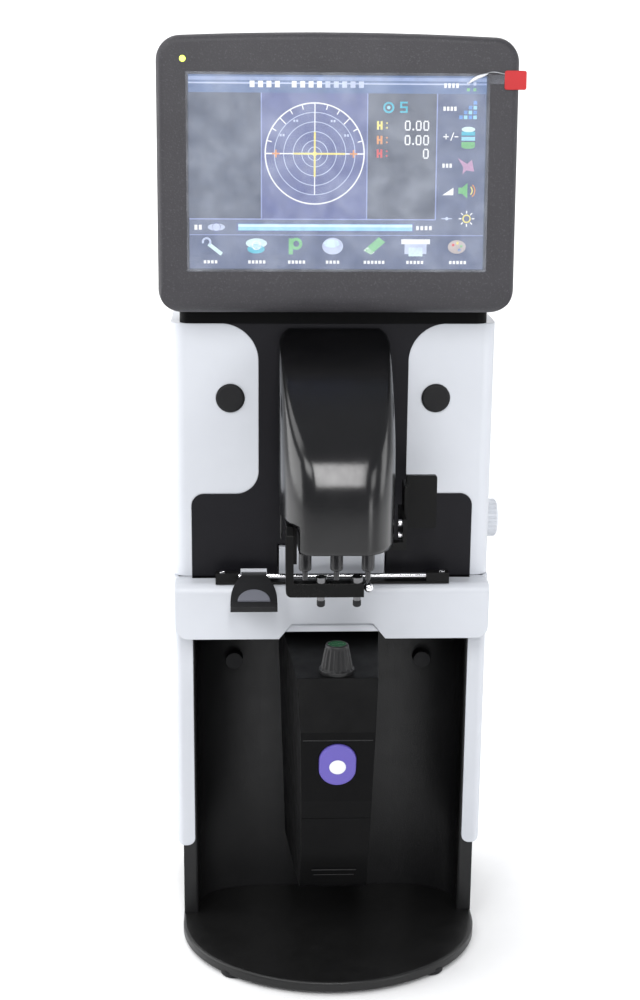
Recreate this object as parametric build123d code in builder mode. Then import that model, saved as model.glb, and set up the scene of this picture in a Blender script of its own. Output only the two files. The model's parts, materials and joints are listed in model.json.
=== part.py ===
from build123d import *
import os
from math import atan2, cos, degrees, radians, sin

os.makedirs("parts", exist_ok=True)

# Desktop auto lensmeter with a tilting touch display.
# Frame: X to the right, Y to the back, Z up. The origin lies on the desk, under the middle of the
# footprint. All sizes are in millimetres.

# ---------------------------------------------------------------- driving dimensions
WALL = 2.5  # moulded cover thickness
FIT = 0.05  # radial clearance of a running fit
GAP = 0.3  # clearance between pieces that move past each other
SPARE = 60.0  # overshoot of cutting tools

# stations along Y
FRONT = -8.0  # front plane of column and body
REAR = 101.0  # rearmost face
AXIS_Y = -74.0  # optical axis
SEAM_Y = 4.0  # seam between front and rear covers
COLUMN_REAR = 98.0  # outside of the black column at the back
COLUMN_SPLIT = 40.0  # seam between the two black column covers

# heights
FOOT_PROUD = 2.0
BASE_TOP = 8.0
LEG_END = 54.0
COLUMN_TOP = 185.8
BED_TOP = 188.6
TABLE_BOTTOM = 189.0
TABLE_TOP = 221.0
BODY_BOTTOM = 221.5
WING_TOP = 270.0
BODY_TOP = 367.0

# half-widths
BASE_RADIUS = 86.8
BASE_DEPTH = 74.5  # front half of the base, from its widest line to its tip
BASE_CENTRE_Y = -14.8
COLUMN_HALF = 86.5
BODY_HALF = 90.0
BODY_WALL = 2.7
LEG_INNER = 79.5
RECESS_HALF = 78.0

# nose (upper optics housing)
NOSE_BOTTOM = 260.0
NOSE_TOP = 362.0
NOSE_FRONT = -96.0
NOSE_SHOULDER = 309.0
NOSE_HALF = 30.5
NOSE_FACE_HALF = 13.0
NOSE_SIDE_Y = -62.0

# lens table and its slide
TABLE_HALF = 88.75
TABLE_FRONT = -25.0
TABLE_BACK = -10.6
UPSTAND_HALF = 30.0  # white wall at the back of the table, seen through the fascia opening
UPSTAND_BACK = -6.0
UPSTAND_TOP = 239.5
WEB_FRONT = -19.0  # recessed wall closing the upper part of the front notch
WEB_HEIGHT = 5.0
TONGUE_HALF = 30.5
TONGUE_END = 47.0
TABLE_ROD_X = 22.0
TABLE_ROD_Z = 205.0
TABLE_ROD_RADIUS = 3.0
KNOB_Y = 16.0
KNOB_Z = 249.0
ROLLER_RADIUS = 10.0

# nose pad rail
RAIL_HALF = 66.0
RAIL_Y = -19.5
RAIL_ROD_Z = 225.0
RAIL_ROD_RADIUS = 1.5
RAIL_BLOCK = 13.0
PAD_X = -44.5

# lens clamp and marker
CLAMP_Y = -87.0
CLAMP_PIN_X = 9.5
CLAMP_ROD = (-20.0, -73.0)
CLAMP_ROD_RADIUS = 2.0
PEN_Y = -61.0
PEN_PITCH = 17.0
PEN_RADIUS = 3.5
PUSH_ROD_X = 8.5
PUSH_ROD_RADIUS = 2.0
PUSH_MID_Y = PEN_Y + 13.0  # a point on the middle of the push rods
PUSH_MID_Z = 288.0
MARKER_ANGLE = degrees(atan2(13.0, 26.0))  # lean of the marker stroke from the vertical

# lower module
MODULE_TOP = 188.0
MODULE_BACK = 26.0
MODULE_SEAM = 106.0
MODULE_EDGE = (-96.0, 161.5)  # front top edge, (y, z)
MODULE_KNEE = (-87.5, 118.0)  # end of the flat that carries the button
MODULE_TOE = (-60.0, 51.0)
FACE_LEAN = degrees(atan2(MODULE_KNEE[0] - MODULE_EDGE[0], MODULE_EDGE[1] - MODULE_KNEE[1]))
BUTTON_Z = 141.7
BUTTON_WIDTH = 20.0
BUTTON_HEIGHT = 26.0

# display
DISPLAY_WIDTH = 190.0
DISPLAY_HALF_HEIGHT = 73.0
DISPLAY_LEAN = 4.0
DISPLAY_CENTRE = (0.0, -29.0, 449.0)
WINDOW_WIDTH = 157.0
WINDOW_HEIGHT = 101.0
TILT_Y = 8.0
TILT_Z = 380.0
TILT_SHAFT_RADIUS = 4.0
ARM_X = 40.0

# printer door in the left side
DOOR_Y = (22.0, 83.0)
DOOR_Z = (252.0, 318.0)
DOOR_ROUND = BODY_WALL / 2 - 0.01

# sockets in the back of the column
SOCKET_Z = 32.0
INLET_X = -48.0
SWITCH_X = -18.0
DATA_X = 28.0


# ---------------------------------------------------------------- small building helpers
def block(x0, x1, y0, y1, z0, z1, mode=Mode.ADD):
    """A box given by its six faces, added to the part that is being built."""
    with Locations(((x0 + x1) / 2, (y0 + y1) / 2, (z0 + z1) / 2)):
        return Box(x1 - x0, y1 - y0, z1 - z0, mode=mode)


def post(x, y, z0, z1, radius, mode=Mode.ADD):
    """An upright cylinder."""
    with Locations((x, y, (z0 + z1) / 2)):
        return Cylinder(radius, z1 - z0, mode=mode)


def bar_x(x0, x1, y, z, radius, mode=Mode.ADD):
    """A cylinder along X."""
    with Locations(Location(((x0 + x1) / 2, y, z), (0, 90, 0))):
        return Cylinder(radius, x1 - x0, mode=mode)


def bar_y(x, y0, y1, z, radius, mode=Mode.ADD):
    """A cylinder along Y."""
    with Locations(Location((x, (y0 + y1) / 2, z), (90, 0, 0))):
        return Cylinder(radius, y1 - y0, mode=mode)


def u_plan(half_width, y_front, y_rear, corner, wall):
    """Plan of a U-shaped wall that is open to the front."""
    with BuildSketch() as plan:
        with Locations((0, (y_front - SPARE + y_rear) / 2)):
            RectangleRounded(2 * half_width, y_rear - y_front + SPARE, corner)
        with Locations((0, (y_front - SPARE + y_rear - wall) / 2)):
            RectangleRounded(
                2 * (half_width - wall), y_rear - wall - y_front + SPARE, corner - wall,
                mode=Mode.SUBTRACT,
            )
        with Locations((0, y_front - SPARE / 2)):
            Rectangle(2 * half_width + 2, SPARE, mode=Mode.SUBTRACT)
    return plan.sketch


# ---------------------------------------------------------------- base
FEET = [(-50, 80), (50, 80), (-56, -62), (56, -62)]
FOOT_RADIUS = 8.0
FOOT_POCKET = 1.5

with BuildPart() as base_plate:
    with BuildSketch(Plane.XY.offset(FOOT_PROUD)):
        with Locations((0, (BASE_CENTRE_Y + REAR) / 2)):
            Rectangle(2 * BASE_RADIUS, REAR - BASE_CENTRE_Y)
        fillet(vertices().group_by(Axis.Y)[-1], 22)
        with Locations((0, BASE_CENTRE_Y)):
            Ellipse(BASE_RADIUS, BASE_DEPTH)
    extrude(amount=BASE_TOP - FOOT_PROUD)
    fillet(edges().group_by(Axis.Z)[-1], 1.6)
    chamfer(edges().group_by(Axis.Z)[0], 0.6)
    with BuildSketch(Plane.XY.offset(FOOT_PROUD)):
        with Locations(*FEET):
            Circle(FOOT_RADIUS + FIT)
    extrude(amount=FOOT_POCKET, mode=Mode.SUBTRACT)
base_plate.part.label = "base_plate"
export_step(base_plate.part, "parts/base_plate.step")

with BuildPart() as rubber_feet:
    with BuildSketch(Plane.XY):
        with Locations(*FEET):
            Circle(FOOT_RADIUS)
    extrude(amount=FOOT_PROUD + FOOT_POCKET)
    chamfer(edges().group_by(Axis.Z)[0], 0.6)
rubber_feet.part.label = "rubber_feet"
export_step(rubber_feet.part, "parts/rubber_feet.step")

# ---------------------------------------------------------------- chassis
FLANGE_TOP = BASE_TOP + 2.5
UPRIGHT_Y = 56.0
UPRIGHT_BACK = UPRIGHT_Y + 2.5
UPRIGHT_HALF = 55.0
UPRIGHT_TOP = 362.0

with BuildPart() as chassis:
    block(-74, 74, 42, 90, BASE_TOP, FLANGE_TOP)
    block(-UPRIGHT_HALF, UPRIGHT_HALF, UPRIGHT_Y, UPRIGHT_BACK, BASE_TOP, UPRIGHT_TOP)
    for side in (-1, 1):
        edge = side * UPRIGHT_HALF
        block(min(edge, edge - side * 2.5), max(edge, edge - side * 2.5), 44, UPRIGHT_BACK, BASE_TOP, 180)
        block(min(edge, edge - side * 2.5), max(edge, edge - side * 2.5), 44, UPRIGHT_BACK, 330, UPRIGHT_TOP)
    for x0, x1 in ((34, 40), (60, 66)):
        block(x0, x1, KNOB_Y - 7, KNOB_Y + 7, BODY_BOTTOM + 5, KNOB_Z + 7)
    block(34, 66, KNOB_Y - 7, UPRIGHT_Y, BODY_BOTTOM + 2.5, BODY_BOTTOM + 5)
    bar_x(30, 70, KNOB_Y, KNOB_Z, 3 + FIT, Mode.SUBTRACT)
    with BuildSketch(Plane.XZ.offset(-UPRIGHT_BACK - 1)):
        with Locations((-30, 110), (0, 110), (30, 110), (-30, 240), (30, 240), (-30, 320), (30, 320)):
            SlotOverall(20, 10, rotation=90)
    extrude(amount=6, mode=Mode.SUBTRACT)
chassis.part.label = "chassis"
export_step(chassis.part, "parts/chassis.step")

# Cast arm that carries the lamp and the guides inside the nose.
ARM_HALF = 12.0
LAMP_TOP = 292.0
ROD_BOSS_LEFT = -23.0
ROD_BOSS_FRONT = -76.0
ROD_BOSS_LOW = 309.0
ROD_BOSS_HIGH = 314.0
with BuildPart() as optical_arm:
    with BuildSketch(Plane.YZ.offset(-ARM_HALF)):
        with BuildLine():
            Polyline(
                (UPRIGHT_Y, 304), (UPRIGHT_Y, 345), (-12, 345), (-84, 304), (-84, LAMP_TOP),
                (-34, LAMP_TOP), (-22, 304),
                close=True,
            )
        make_face()
    extrude(amount=2 * ARM_HALF)
    block(ROD_BOSS_LEFT, -ARM_HALF + 1, ROD_BOSS_FRONT, -67, ROD_BOSS_LOW, ROD_BOSS_HIGH)
    block(-3, 3, -40, 40, 300, 330, Mode.SUBTRACT)
    for side in (-1, 1):
        with Locations(Location((side * PUSH_ROD_X, PUSH_MID_Y, PUSH_MID_Z), (-MARKER_ANGLE, 0, 0))):
            Cylinder(PUSH_ROD_RADIUS + FIT, 2 * SPARE, mode=Mode.SUBTRACT)
    post(*CLAMP_ROD, 268, 312, CLAMP_ROD_RADIUS)
optical_arm.part.label = "optical_arm"
export_step(optical_arm.part, "parts/optical_arm.step")

LENS_SEAT = 268.0
with BuildPart() as lamp_housing:
    post(0, AXIS_Y, LENS_SEAT - 2, LAMP_TOP, 8)
    post(0, AXIS_Y, LENS_SEAT - 3, 280, 5, Mode.SUBTRACT)
    post(0, AXIS_Y, LENS_SEAT - 3, LENS_SEAT + 1.5, 6.5, Mode.SUBTRACT)
lamp_housing.part.label = "lamp_housing"
export_step(lamp_housing.part, "parts/lamp_housing.step")

with BuildPart() as collimator_lens:
    post(0, AXIS_Y, LENS_SEAT - 1.5, LENS_SEAT + 1.2, 6.4)
    fillet(edges().group_by(Axis.Z)[-1], 0.9)
collimator_lens.part.label = "collimator_lens"
export_step(collimator_lens.part, "parts/collimator_lens.step")


# ---------------------------------------------------------------- column covers
def recess_plan(grow):
    """Plan of the front recess: straight cheeks, then an elliptic sweep into a flat back wall."""
    half = RECESS_HALF + grow
    with BuildSketch() as plan:
        with BuildLine():
            Line((-half, FRONT), (half, FRONT))
            Line((half, FRONT), (half, 5))
            EllipticalCenterArc((40, 5), half - 40, MODULE_BACK - 5 + grow, start_angle=0, arc_size=90)
            Line((40, MODULE_BACK + grow), (-40, MODULE_BACK + grow))
            EllipticalCenterArc((-40, 5), half - 40, MODULE_BACK - 5 + grow, start_angle=90, arc_size=90)
            Line((-half, 5), (-half, FRONT))
        make_face()
    return plan.sketch


LOWER_CAP_X = 56.0
LOWER_CAP_Z = 160.0
LOWER_CAP_RADIUS = 5.0
with BuildPart() as lower_front_cover:
    with BuildSketch(Plane.XY.offset(BASE_TOP)):
        with Locations((0, (FRONT + COLUMN_SPLIT) / 2)):
            Rectangle(2 * COLUMN_HALF, COLUMN_SPLIT - FRONT)
        with Locations((0, (FRONT + WALL + COLUMN_SPLIT) / 2)):
            Rectangle(2 * (COLUMN_HALF - WALL), COLUMN_SPLIT - FRONT - WALL, mode=Mode.SUBTRACT)
        add(recess_plan(WALL))
        add(recess_plan(0), mode=Mode.SUBTRACT)
    extrude(amount=COLUMN_TOP - BASE_TOP)
    for side in (-1, 1):
        bar_y(side * LOWER_CAP_X, 5, 39, LOWER_CAP_Z, LOWER_CAP_RADIUS + FIT, Mode.SUBTRACT)
    for side in (-1, 1):
        cheek = side * RECESS_HALF
        front_edges = edges().filter_by(Axis.Z).filter_by_position(Axis.Y, FRONT - 0.1, FRONT + 0.1)
        fillet(front_edges.filter_by_position(Axis.X, cheek - 0.1, cheek + 0.1), 1.5)
lower_front_cover.part.label = "lower_front_cover"
export_step(lower_front_cover.part, "parts/lower_front_cover.step")

with BuildPart() as lower_rear_cover:
    with BuildSketch(Plane.XY.offset(BASE_TOP)):
        add(u_plan(COLUMN_HALF, COLUMN_SPLIT + 0.2, COLUMN_REAR, 22, WALL))
    extrude(amount=COLUMN_TOP - BASE_TOP)
    block(INLET_X - 13.8, INLET_X + 13.8, 90, 105, SOCKET_Z - 10.1, SOCKET_Z + 10.1, Mode.SUBTRACT)
    block(SWITCH_X - 6.4, SWITCH_X + 6.4, 90, 105, SOCKET_Z - 9.4, SOCKET_Z + 9.4, Mode.SUBTRACT)
    block(DATA_X - 16.1, DATA_X + 16.1, 90, 105, SOCKET_Z - 6.1, SOCKET_Z + 6.1, Mode.SUBTRACT)
    with Locations(*[(x, 98, 150) for x in range(-40, 41, 10)]):
        Box(3, 20, 40, mode=Mode.SUBTRACT)
lower_rear_cover.part.label = "lower_rear_cover"
export_step(lower_rear_cover.part, "parts/lower_rear_cover.step")

# ---------------------------------------------------------------- sockets at the back
with BuildPart() as power_inlet:
    block(INLET_X - 15.5, INLET_X + 15.5, COLUMN_REAR, COLUMN_REAR + 1.8, SOCKET_Z - 12, SOCKET_Z + 12)
    block(INLET_X - 13.5, INLET_X + 13.5, 78, COLUMN_REAR + 0.5, SOCKET_Z - 9.8, SOCKET_Z + 9.8)
    fillet(edges().filter_by(Axis.Y), 1.5)
    block(INLET_X - 12, INLET_X + 12, 82, 105, SOCKET_Z - 8, SOCKET_Z + 8, Mode.SUBTRACT)
    for x, z in ((-7, -2), (7, -2), (0, 2.5)):
        block(INLET_X + x - 1, INLET_X + x + 1, 80, 97, SOCKET_Z + z - 2, SOCKET_Z + z + 2)
power_inlet.part.label = "power_inlet"
export_step(power_inlet.part, "parts/power_inlet.step")

with BuildPart() as switch_frame:
    block(SWITCH_X - 8.5, SWITCH_X + 8.5, COLUMN_REAR, COLUMN_REAR + 1.2, SOCKET_Z - 11.5, SOCKET_Z + 11.5)
    block(SWITCH_X - 6.3, SWITCH_X + 6.3, 84, COLUMN_REAR + 0.5, SOCKET_Z - 9.3, SOCKET_Z + 9.3)
    block(SWITCH_X - 5.6, SWITCH_X + 5.6, 86, 105, SOCKET_Z - 8.7, SOCKET_Z + 8.7, Mode.SUBTRACT)
    bar_x(SWITCH_X - 6.3, SWITCH_X + 6.3, 95.5, SOCKET_Z, 1.0)
switch_frame.part.label = "switch_frame"
export_step(switch_frame.part, "parts/switch_frame.step")

with BuildPart() as power_rocker:
    with BuildSketch(Plane.YZ.offset(SWITCH_X - 5.3)):
        with BuildLine():
            Polyline(
                (93.5, SOCKET_Z - 7.8), (99.9, SOCKET_Z - 7.8), (99.1, SOCKET_Z),
                (99.9, SOCKET_Z + 7.8), (93.5, SOCKET_Z + 7.8), close=True,
            )
        make_face()
    extrude(amount=10.6)
    bar_x(SWITCH_X - 8, SWITCH_X + 8, 95.5, SOCKET_Z, 1.0 + FIT, Mode.SUBTRACT)
power_rocker.part.label = "power_rocker"
export_step(power_rocker.part, "parts/power_rocker.step")

with BuildPart() as data_ports:
    block(DATA_X - 16, DATA_X + 16, 84, COLUMN_REAR + 0.8, SOCKET_Z - 6, SOCKET_Z + 6)
    block(DATA_X - 14, DATA_X - 2, 88, 105, SOCKET_Z - 4.5, SOCKET_Z + 4.5, Mode.SUBTRACT)
    block(DATA_X + 2, DATA_X + 14, 88, 105, SOCKET_Z - 3, SOCKET_Z + 3, Mode.SUBTRACT)
data_ports.part.label = "data_ports"
export_step(data_ports.part, "parts/data_ports.step")

# ---------------------------------------------------------------- boards inside
with BuildPart() as main_board:
    block(-48, 48, 62, 63.6, 92, 182)
    for x, z, width, height in ((-20, 150, 24, 24), (15, 160, 14, 10), (25, 120, 30, 8), (-25, 112, 16, 12)):
        block(x - width / 2, x + width / 2, 63.6, 66, z - height / 2, z + height / 2)
main_board.part.label = "main_board"
export_step(main_board.part, "parts/main_board.step")


# ---------------------------------------------------------------- white body covers
def fascia_plan():
    """Front view (x, z) of the inverted-T fascia, without its openings."""
    strip = 41.6
    lobe = 21.0
    inner = 13.0
    with BuildSketch() as plan:
        with Locations((0, (BODY_BOTTOM + WING_TOP) / 2)):
            Rectangle(2 * LEG_INNER, WING_TOP - BODY_BOTTOM)
        fillet(vertices().group_by(Axis.Y)[-1], 7)
        with Locations((0, (WING_TOP + BODY_TOP) / 2)):
            Rectangle(2 * strip, BODY_TOP - WING_TOP)
        with Locations((0, BODY_TOP - lobe / 2)):
            Rectangle(2 * (strip + lobe), lobe)
        with Locations((0, WING_TOP + inner / 2)):
            Rectangle(2 * (strip + inner), inner)
        with Locations((-strip - lobe, BODY_TOP - lobe), (strip + lobe, BODY_TOP - lobe)):
            Circle(lobe, mode=Mode.SUBTRACT)
        with Locations((-strip - inner, WING_TOP + inner), (strip + inner, WING_TOP + inner)):
            Circle(inner, mode=Mode.SUBTRACT)
    return plan.sketch


UPPER_CAP_X = 57.3
UPPER_CAP_Z = 325.0
UPPER_CAP_RADIUS = 8.0
with BuildPart() as upper_front_cover:
    with BuildSketch(Plane.XY.offset(BODY_BOTTOM)):
        with Locations((0, (FRONT + SEAM_Y) / 2)):
            Rectangle(2 * BODY_HALF, SEAM_Y - FRONT)
        fillet(vertices().group_by(Axis.Y)[0], 7)
    extrude(amount=BODY_TOP - BODY_BOTTOM)
    with BuildSketch(Plane.XY.offset(BODY_BOTTOM)):
        with Locations((0, (FRONT + BODY_WALL + SEAM_Y + 1) / 2)):
            Rectangle(2 * (BODY_HALF - BODY_WALL), SEAM_Y + 1 - FRONT - BODY_WALL)
        fillet(vertices().group_by(Axis.Y)[0], 4.3)
    extrude(amount=BODY_TOP - BODY_BOTTOM - BODY_WALL, mode=Mode.SUBTRACT)
    with BuildSketch(Plane.XZ.offset(-FRONT + 1)):
        add(fascia_plan())
    extrude(amount=-1 - BODY_WALL - 1, mode=Mode.SUBTRACT)
    for side in (-1, 1):
        bar_y(side * UPPER_CAP_X, FRONT - 1, SEAM_Y, UPPER_CAP_Z, UPPER_CAP_RADIUS + FIT, Mode.SUBTRACT)
upper_front_cover.part.label = "upper_front_cover"
export_step(upper_front_cover.part, "parts/upper_front_cover.step")

with BuildPart() as screw_caps:
    for side in (-1, 1):
        bar_y(side * UPPER_CAP_X, FRONT - 1.6, FRONT + 4, UPPER_CAP_Z, UPPER_CAP_RADIUS)
    fillet(edges().group_by(Axis.Y)[0], 1.4)
    for side in (-1, 1):
        bar_y(side * LOWER_CAP_X, 17.6, 26, LOWER_CAP_Z, LOWER_CAP_RADIUS)
screw_caps.part.label = "screw_caps"
export_step(screw_caps.part, "parts/screw_caps.step")

FASCIA_FRONT = FRONT - 0.6
with BuildPart() as front_fascia:
    with BuildSketch(Plane.XZ.offset(-FASCIA_FRONT)):
        add(fascia_plan())
        with Locations((0, BODY_BOTTOM + 9)):
            Rectangle(2 * 31, 20, mode=Mode.SUBTRACT)
        with Locations((0, 326.5)):
            Rectangle(52, 47, mode=Mode.SUBTRACT)
    extrude(amount=-0.6 - BODY_WALL)
front_fascia.part.label = "front_fascia"
export_step(front_fascia.part, "parts/front_fascia.step")

LEG_FRONT = FRONT - 2.2
LEG_ROUND = 4.6
LEG_TIP = 7.0
with BuildPart() as rear_cover:
    with BuildSketch(Plane.XY.offset(LEG_END)):
        with Locations((0, (LEG_FRONT + REAR) / 2)):
            Rectangle(2 * BODY_HALF, REAR - LEG_FRONT)
        fillet(vertices().group_by(Axis.Y)[-1], 25)
        fillet(vertices().group_by(Axis.Y)[0], 4)
    extrude(amount=BODY_TOP - LEG_END)
    with BuildSketch(Plane.XY.offset(LEG_END)):
        with Locations((0, (FRONT + REAR - BODY_WALL) / 2)):
            Rectangle(2 * (BODY_HALF - BODY_WALL), REAR - BODY_WALL - FRONT)
        fillet(vertices().group_by(Axis.Y)[-1], 25 - BODY_WALL)
    extrude(amount=BODY_TOP - LEG_END - BODY_WALL, mode=Mode.SUBTRACT)
    block(-LEG_INNER, LEG_INNER, LEG_FRONT - 1, FRONT + 1, LEG_END - 1, BODY_TOP + 1, Mode.SUBTRACT)
    block(-95, 95, LEG_FRONT - 1, SEAM_Y + 0.2, BODY_BOTTOM - 0.2, BODY_TOP + 1, Mode.SUBTRACT)
    block(-95, 95, 0, REAR + 1, LEG_END - 1, LEG_END + LEG_TIP, Mode.SUBTRACT)
    for side in (-1, 1):
        with BuildSketch(Plane.XZ.offset(-LEG_FRONT + 1)):
            with Locations((side * (LEG_INNER + BODY_HALF) / 2, LEG_END + LEG_TIP / 2)):
                Rectangle(BODY_HALF - LEG_INNER + 2, LEG_TIP + 2)
            with Locations((side * (LEG_INNER + BODY_HALF) / 2, LEG_END + LEG_TIP)):
                RectangleRounded(BODY_HALF - LEG_INNER, 2 * LEG_TIP, LEG_ROUND, mode=Mode.SUBTRACT)
        extrude(amount=-1 - 10.3, mode=Mode.SUBTRACT)
    bar_x(80, 95, KNOB_Y, KNOB_Z, 3.4, Mode.SUBTRACT)
    block(-95, -85, DOOR_Y[0], DOOR_Y[1], DOOR_Z[0], DOOR_Z[1], Mode.SUBTRACT)
    bar_y(-BODY_HALF + BODY_WALL / 2, 18, 87, DOOR_Z[0] + GAP + DOOR_ROUND, 0.8 + FIT, Mode.SUBTRACT)
    with Locations(*[(x, REAR, 320) for x in range(-50, 51, 10)]):
        Box(3, 20, 50, mode=Mode.SUBTRACT)
rear_cover.part.label = "rear_cover"
export_step(rear_cover.part, "parts/rear_cover.step")

with BuildPart() as rating_plate:
    block(-25, 25, REAR, REAR + 0.4, 200, 228)
    fillet(edges().filter_by(Axis.Y), 2)
rating_plate.part.label = "rating_plate"
export_step(rating_plate.part, "parts/rating_plate.step")

# ---------------------------------------------------------------- printer behind the left side door
with BuildPart() as printer_door:
    block(
        -BODY_HALF, -BODY_HALF + BODY_WALL, DOOR_Y[0] + GAP, DOOR_Y[1] - GAP,
        DOOR_Z[0] + GAP, DOOR_Z[1] - GAP,
    )
    fillet(edges().filter_by(Axis.Y).group_by(Axis.Z)[0], DOOR_ROUND)
    bar_y(-BODY_HALF, 44, 61, 311, 2.0, Mode.SUBTRACT)
    for y0, y1 in ((19.5, 26), (79, 85.5)):
        bar_y(-BODY_HALF + BODY_WALL / 2, y0, y1, DOOR_Z[0] + GAP + DOOR_ROUND, 0.8)
printer_door.part.label = "printer_door"
export_step(printer_door.part, "parts/printer_door.step")

ROLL_X = -60.0
ROLL_Z = 290.0
with BuildPart() as printer_frame:
    block(-84, -34, 22, 24, 258, 316)
    block(-84, -34, 53.6, 55.6, 258, 316)
    block(-84, -34, 22, 55.6, 258, 260)
    bar_y(ROLL_X, 22, 55.6, ROLL_Z, 3.0)
    bar_y(-76, 22, 55.6, 266, 3.5)
printer_frame.part.label = "printer_frame"
export_step(printer_frame.part, "parts/printer_frame.step")

with BuildPart() as paper_roll:
    bar_y(ROLL_X, 24.5, 53.1, ROLL_Z, 19)
    bar_y(ROLL_X, 22, 56, ROLL_Z, 3.0 + FIT, Mode.SUBTRACT)
paper_roll.part.label = "paper_roll"
export_step(paper_roll.part, "parts/paper_roll.step")

# ---------------------------------------------------------------- nose (upper optics housing)
def nose_solid(inset):
    """The nose form, shrunk by inset: a rounded plan crossed with a sloped side profile."""
    with BuildPart() as form:
        with BuildSketch(Plane.XY.offset(NOSE_BOTTOM - 10)):
            with BuildLine():
                Line((-NOSE_FACE_HALF, NOSE_FRONT + inset), (NOSE_FACE_HALF, NOSE_FRONT + inset))
                EllipticalCenterArc(
                    (NOSE_FACE_HALF, NOSE_SIDE_Y), NOSE_HALF - NOSE_FACE_HALF - inset,
                    NOSE_SIDE_Y - NOSE_FRONT - inset, start_angle=270, arc_size=90,
                )
                Line((NOSE_HALF - inset, NOSE_SIDE_Y), (NOSE_HALF - inset, FASCIA_FRONT))
                Line((NOSE_HALF - inset, FASCIA_FRONT), (-NOSE_HALF + inset, FASCIA_FRONT))
                Line((-NOSE_HALF + inset, FASCIA_FRONT), (-NOSE_HALF + inset, NOSE_SIDE_Y))
                EllipticalCenterArc(
                    (-NOSE_FACE_HALF, NOSE_SIDE_Y), NOSE_HALF - NOSE_FACE_HALF - inset,
                    NOSE_SIDE_Y - NOSE_FRONT - inset, start_angle=180, arc_size=90,
                )
            make_face()
        extrude(amount=NOSE_TOP - NOSE_BOTTOM + 20)
        with BuildSketch(Plane.YZ.offset(-NOSE_HALF - 5)):
            with BuildLine():
                Polyline(
                    (FASCIA_FRONT + 10, 302), (-55, NOSE_BOTTOM), (NOSE_FRONT - 10, NOSE_BOTTOM),
                    (NOSE_FRONT - 10, 250), (FASCIA_FRONT + 10, 250), close=True,
                )
            make_face()
        extrude(amount=2 * NOSE_HALF + 10, mode=Mode.SUBTRACT)
        with BuildSketch(Plane.YZ.offset(-NOSE_HALF - 5)):
            with BuildLine():
                Polyline(
                    (NOSE_FRONT + inset, NOSE_BOTTOM - 20), (NOSE_FRONT + inset, NOSE_SHOULDER - inset),
                    (FASCIA_FRONT, NOSE_TOP - inset), (FASCIA_FRONT, NOSE_BOTTOM - 20), close=True,
                )
            make_face()
            fillet(vertices().sort_by(Axis.X)[:2].sort_by(Axis.Y)[-1], 22 - inset)
        extrude(amount=2 * NOSE_HALF + 10, mode=Mode.INTERSECT)
    return form.part


with BuildPart() as nose_cover:
    add(nose_solid(0))
    add(nose_solid(WALL), mode=Mode.SUBTRACT)
    block(-35, -21.4, -100, -64, 250, 274, Mode.SUBTRACT)
nose_cover.part.label = "nose_cover"
export_step(nose_cover.part, "parts/nose_cover.step")

# ---------------------------------------------------------------- lens table and its guides
NOTCH_LOW = 31.0
NOTCH_HIGH = 23.0
NOTCH_HEIGHT = 9.0

with BuildPart() as table_bed:
    block(-LEG_INNER + 0.5, LEG_INNER - 0.5, FRONT - 0.5, 50, COLUMN_TOP, BED_TOP)
    block(-31.5, 31.5, FRONT - 1, MODULE_BACK + 1, COLUMN_TOP - 1, BED_TOP + 1, Mode.SUBTRACT)
    block(-84, 84, -5, -2.5, BED_TOP, BODY_BOTTOM)
    block(-84, 84, -5, 0, BED_TOP, BED_TOP + 2)
    block(-32, 32, -6, 1, 194, BODY_BOTTOM + 1, Mode.SUBTRACT)
table_bed.part.label = "table_bed"
export_step(table_bed.part, "parts/table_bed.step")

with BuildPart() as table_guide_rods:
    for side in (-1, 1):
        bar_y(side * TABLE_ROD_X, 0, UPRIGHT_Y, TABLE_ROD_Z, TABLE_ROD_RADIUS)
table_guide_rods.part.label = "table_guide_rods"
export_step(table_guide_rods.part, "parts/table_guide_rods.step")

# Upstand on the tongue: the roller on the side knob's shaft drives along it.
STRIP_TOP = KNOB_Z - ROLLER_RADIUS - GAP
with BuildPart() as lens_table:
    with BuildSketch(Plane.XZ.offset(-TABLE_BACK)):
        with Locations((0, (TABLE_BOTTOM + TABLE_TOP) / 2)):
            Rectangle(2 * TABLE_HALF, TABLE_TOP - TABLE_BOTTOM)
        fillet(vertices().group_by(Axis.Y)[0], 7)
        with BuildLine():
            Polyline(
                (-NOTCH_LOW, TABLE_BOTTOM - 1), (-NOTCH_HIGH, TABLE_BOTTOM + NOTCH_HEIGHT),
                (NOTCH_HIGH, TABLE_BOTTOM + NOTCH_HEIGHT), (NOTCH_LOW, TABLE_BOTTOM - 1), close=True,
            )
        make_face(mode=Mode.SUBTRACT)
    extrude(amount=TABLE_BACK - TABLE_FRONT)
    fillet(edges().filter_by(Axis.X).group_by(Axis.Y)[0].group_by(Axis.Z)[-1], 5.5)
    block(-TONGUE_HALF, TONGUE_HALF, TABLE_BACK - 4, TONGUE_END, 198, TABLE_TOP)
    block(-84, -34, -21, -14, TABLE_BOTTOM - 1, 216, Mode.SUBTRACT)
    block(34, 84, -21, -14, TABLE_BOTTOM - 1, 216, Mode.SUBTRACT)
    block(-14, 14, -6, TONGUE_END - 4, 197, 217, Mode.SUBTRACT)
    block(20, 26, KNOB_Y - 3, KNOB_Y + 20, TABLE_TOP, STRIP_TOP)
    block(-UPSTAND_HALF, UPSTAND_HALF, TABLE_BACK, UPSTAND_BACK, TABLE_TOP - 1, UPSTAND_TOP)
    web_top = TABLE_BOTTOM + NOTCH_HEIGHT
    block(-NOTCH_HIGH, NOTCH_HIGH, WEB_FRONT, TABLE_BACK, web_top - WEB_HEIGHT, web_top + 1)
    for side in (-1, 1):
        bar_y(side * TABLE_ROD_X, -4, TONGUE_END + 1, TABLE_ROD_Z, TABLE_ROD_RADIUS + FIT, Mode.SUBTRACT)
lens_table.part.label = "lens_table"
export_step(lens_table.part, "parts/lens_table.step")

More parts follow.
